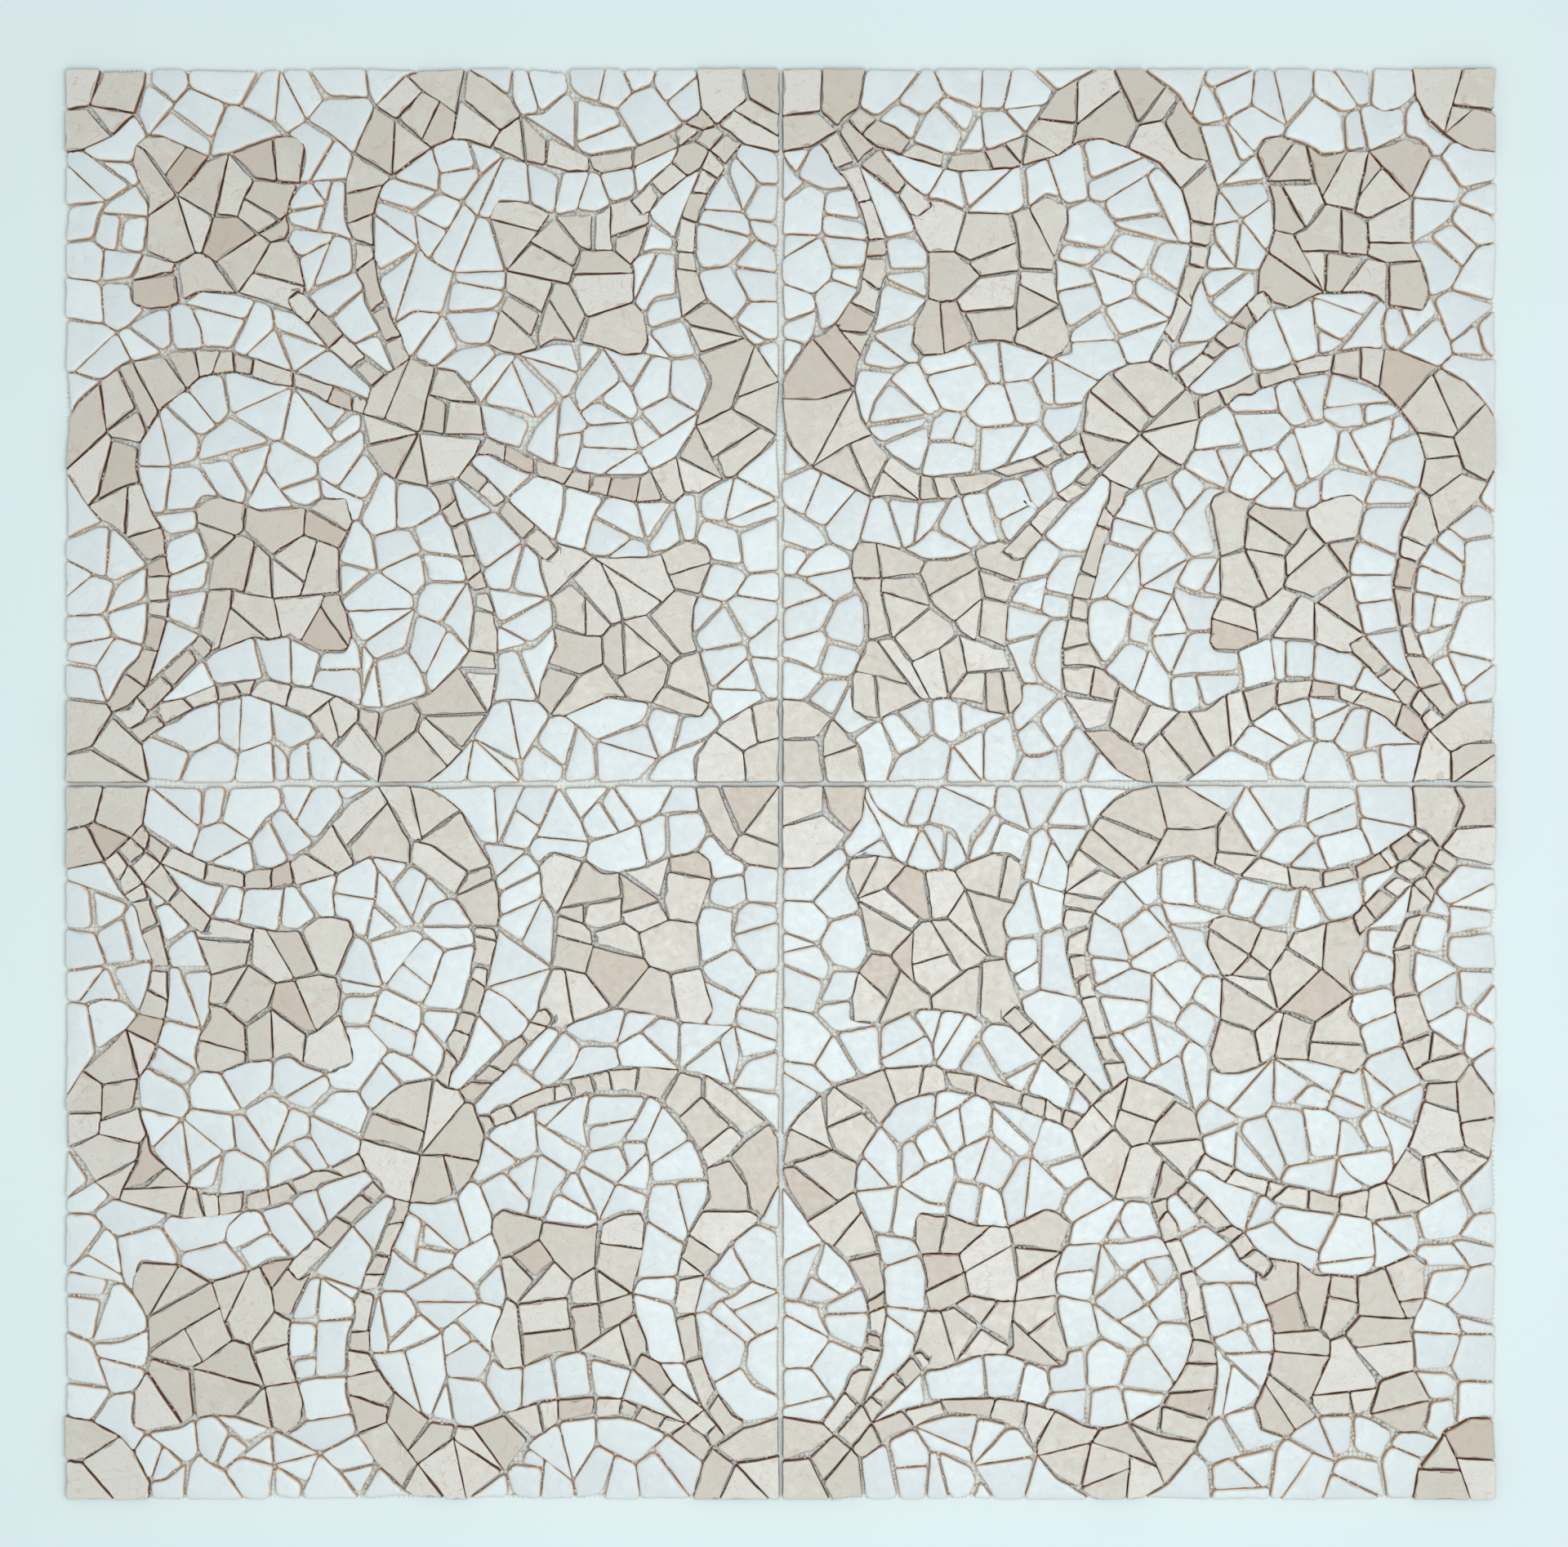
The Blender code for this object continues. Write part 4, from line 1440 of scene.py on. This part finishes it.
@dataclass
class GlueNet:
    """The woven glass net under the stones of one sheet, with beads of adhesive where a gap shows them."""

    side: float
    pitch: float = 0.0040
    strand_width: float = 0.0009
    strand_height: float = 0.00038
    spans: int = 9
    sway: float = 0.00035
    level: float = 0.00045
    bead_radius: Span = (0.0010, 0.0019)
    bead_height: Span = (0.0024, 0.0072)
    gap_reach: float = 0.0014
    bare_share: float = 0.35

    @property
    def lines(self) -> list[float]:
        """Where the strands lie, across their length."""
        count = int(self.side / self.pitch)
        first = (self.side - (count - 1) * self.pitch) / 2
        return [first + number * self.pitch for number in range(count)]

    def strands(self, chance: np.random.Generator) -> tuple[np.ndarray, list[tuple[int, ...]]]:
        """Lay the strands both ways.

        Args:
            chance: where their sway comes from.

        Returns:
            Vertices and faces in the sheet's own frame.
        """
        vertices = []
        faces = []
        half = self.strand_width / 2
        top, rise = half * 0.6, self.strand_height
        profile = ((-half, 0.0), (half, 0.0), (top, rise), (-top, rise))
        for way in (0, 1):
            level = self.level if way else self.level - self.strand_height
            for middle in self.lines:
                swings = chance.normal(0.0, self.sway, self.spans + 1)
                start = len(vertices)
                for step in range(self.spans + 1):
                    along = self.side * step / self.spans
                    for sideways, up in profile:
                        across = min(max(middle + swings[step] + sideways, 0.0), self.side)
                        place = (across, along) if way else (along, across)
                        vertices.append((*place, level + up))
                for step in range(self.spans):
                    base = start + 4 * step
                    for i in range(4):
                        j = (i + 1) % 4
                        faces.append((base + i, base + j, base + 4 + j, base + 4 + i))
                faces.append((start + 3, start + 2, start + 1, start))
                last = start + 4 * self.spans
                faces.append((last, last + 1, last + 2, last + 3))
        return np.array(vertices), faces

    def beads(
        self, stones: np.ndarray, cell: float, chance: np.random.Generator
    ) -> tuple[np.ndarray, list[tuple[int, ...]]]:
        """Set beads of adhesive on the net's crossings that lie in a joint.

        Args:
            stones: the grid of stone numbers.
            cell: the grid's pitch.
            chance: where sizes come from.

        Returns:
            Vertices and faces in the sheet's own frame.
        """
        reach = max(1, round(self.gap_reach / cell))
        size = stones.shape[0]
        vertices = []
        faces = []
        for y in self.lines:
            for x in self.lines:
                r, c = int(y / cell), int(x / cell)
                ends = [(r, max(c - reach, 0)), (r, min(c + reach, size - 1))]
                ends += [(max(r - reach, 0), c), (min(r + reach, size - 1), c)]
                kinds = {int(stones[end]) for end in ends}
                if len(kinds) < 2 or (len(kinds) == 2 and chance.random() < self.bare_share):
                    continue
                self.add_bead(vertices, faces, (x, y), chance)
        return np.array(vertices), faces

    def add_bead(
        self,
        vertices: list[tuple[float, ...]],
        faces: list[tuple[int, ...]],
        where: Span,
        chance: np.random.Generator,
    ) -> None:
        """Add one bead, a low dome on six sides.

        Args:
            vertices: gathered vertices.
            faces: gathered faces.
            where: the bead's place.
            chance: where its size comes from.
        """
        radius = chance.uniform(*self.bead_radius)
        height = chance.uniform(*self.bead_height)
        start = len(vertices)
        base = self.level + self.strand_height * 0.5
        turn = chance.uniform(0.0, 1.0)
        for share, up in ((1.0, 0.0), (0.7, 0.7)):
            for i in range(6):
                angle = (i + turn) * math.pi / 3
                x = min(max(where[0] + radius * share * math.cos(angle), 0.0), self.side)
                y = min(max(where[1] + radius * share * math.sin(angle), 0.0), self.side)
                vertices.append((x, y, base + height * up))
        vertices.append((*where, base + height))
        for i in range(6):
            j = (i + 1) % 6
            faces.append((start + i, start + j, start + 6 + j, start + 6 + i))
            faces.append((start + 6 + i, start + 6 + j, start + 12))


@dataclass
class MosaicSheet:
    """One net-backed sheet of the panel."""

    name: str
    signs: tuple[int, int]
    seed: int
    pattern: SheetPattern
    seam: float = 0.0022

    @property
    def corner(self) -> Span:
        """Where the sheet's corner at the middle of the panel lies."""
        return (self.signs[0] * self.seam / 2, self.signs[1] * self.seam / 2)

    def build(
        self, stone_materials: Mapping[Marble, bpy.types.Material], net: Mapping[str, bpy.types.Material]
    ) -> None:
        """Build the sheet's net, adhesive and stones.

        Args:
            stone_materials: the material of each marble.
            net: the materials of the net and of its adhesive.
        """
        chance = np.random.default_rng(self.seed)
        stones, owners = StoneBreaker(self.pattern, chance).broken()
        network = JointNetwork(stones, len(owners), self.pattern.cell, chance)
        for part in PARTS:
            self.lay_stones(part, network, owners, chance, stone_materials[marble_of(part)])
        backing = GlueNet(self.pattern.side)
        weave = self.place_loose(f"{self.name}_net_weave", *backing.strands(chance), net["weave"])
        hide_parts(f"{self.name}_net")
        self.place_loose(
            f"{self.name}_adhesive", *backing.beads(stones, self.pattern.cell, chance), net["adhesive"]
        )

    def lay_stones(
        self,
        part: str,
        network: JointNetwork,
        owners: list[Figure],
        chance: np.random.Generator,
        material: bpy.types.Material,
    ) -> None:
        """Shape and lay the stones of one part of the sheet.

        Args:
            part: the part.
            network: the sheet's joints.
            owners: the figure of each stone.
            chance: where their differences come from.
            material: the stones' material.
        """
        marble = marble_of(part)
        shaper = StoneShaper(CUTS[marble], chance, self.pattern.side)
        mesh = StoneMesh(self.signs)
        laid = 0
        for number, ring in network.rings.items():
            if owners[number].part != part or len(ring) < 3:
                continue
            points = np.array([network.place[key] for key in ring])
            at_edge = [network.on_edge(a, b) for a, b in zip(points, np.roll(points, -1, axis=0))]
            plan = shaper.plan(points, at_edge)
            if plan is not None:
                mesh.add_stone(*shaper.rings(plan), shaper.look())
                laid += 1
        piece = mesh.finish(f"{self.name}_{part}_stones", self.corner, material)
        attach(piece, "root")
        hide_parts(f"{self.name}_{part}")
        logger.info("%s: %d stones, %d faces", piece.name, laid, len(piece.data.polygons))

    def place_loose(
        self, name: str, vertices: np.ndarray, faces: list[tuple[int, ...]], material: bpy.types.Material
    ) -> bpy.types.Object:
        """Make one piece of the net.

        Args:
            name: the piece's name.
            vertices: its vertices in the sheet's own frame.
            faces: its faces.
            material: its material.

        Returns:
            The new piece.
        """
        places = vertices * (*self.signs, 1) + (*self.corner, 0.0)
        if self.signs[0] * self.signs[1] < 0:
            faces = [face[::-1] for face in faces]
        piece = new_piece(name, places.tolist(), faces, material)
        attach(piece, "root")
        logger.info("%s: %d faces", name, len(faces))
        return piece


@dataclass
class Studio:
    """The pale floor, the soft light and the camera straight above."""

    floor_side: float = 9.0
    floor_level: float = -0.0003
    camera_place: tuple[float, float, float] = (0.0027, 0.0089, 3.0)
    view_width: float = 1.316
    sensor: float = 36.0
    lamp_side: float = 1.8
    lamp_place: tuple[float, float, float] = (0.35, -0.28, 3.2)
    lamp_power: float = 70.0
    sky: Colour = (0.96, 0.985, 1.0)
    sky_strength: float = 0.45

    def build(self) -> None:
        """Set up the floor, the lights and the camera."""
        self.lay_floor()
        self.hang_lamp()
        self.fill_sky()
        self.place_camera()

    def lay_floor(self) -> None:
        """Lay the floor."""
        half = self.floor_side / 2
        corners = [(-half, -half, 0.0), (half, -half, 0.0), (half, half, 0.0), (-half, half, 0.0)]
        floor = new_piece("floor", corners, [(0, 1, 2, 3)], FloorFinish().material())
        floor.location.z = self.floor_level

    def hang_lamp(self) -> None:
        """Hang one large soft lamp above."""
        lamp = bpy.data.lights.new("overhead_lamp", "AREA")
        lamp.shape = "SQUARE"
        lamp.size = self.lamp_side
        lamp.energy = self.lamp_power
        holder = bpy.data.objects.new("overhead_lamp", lamp)
        holder.location = self.lamp_place
        holder.rotation_euler = (-Vector(self.lamp_place)).to_track_quat("-Z", "Y").to_euler()
        bpy.context.collection.objects.link(holder)

    def fill_sky(self) -> None:
        """Fill the surroundings with pale light."""
        world = bpy.data.worlds.new("studio")
        world.use_nodes = True
        background = world.node_tree.nodes["Background"]
        background.inputs["Color"].default_value = (*self.sky, 1.0)
        background.inputs["Strength"].default_value = self.sky_strength
        bpy.context.scene.world = world

    def place_camera(self) -> None:
        """Place the camera above the panel, looking straight down."""
        lens = bpy.data.cameras.new("camera")
        lens.sensor_fit = "HORIZONTAL"
        lens.sensor_width = self.sensor
        lens.lens = self.sensor * self.camera_place[2] / self.view_width
        camera = bpy.data.objects.new("camera", lens)
        camera.location = self.camera_place
        bpy.context.collection.objects.link(camera)
        bpy.context.scene.camera = camera
        bpy.context.scene.view_settings.view_transform = "Standard"


def main() -> None:
    """Build the panel's looks, sheet by sheet."""
    logging.basicConfig(level=logging.INFO, format="%(message)s")
    Studio().build()
    pattern = SheetPattern()
    stone_materials = {Marble.WHITE: WHITE_FINISH.material(), Marble.BEIGE: BEIGE_FINISH.material()}
    net = {"weave": NetFinish().material(), "adhesive": GlueFinish().material()}
    sheets = (
        MosaicSheet("ne", (1, 1), 111, pattern),
        MosaicSheet("nw", (-1, 1), 223, pattern),
        MosaicSheet("se", (1, -1), 337, pattern),
        MosaicSheet("sw", (-1, -1), 441, pattern),
    )
    for sheet in sheets:
        sheet.build(stone_materials, net)
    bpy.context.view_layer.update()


if __name__ == "__main__":
    main()
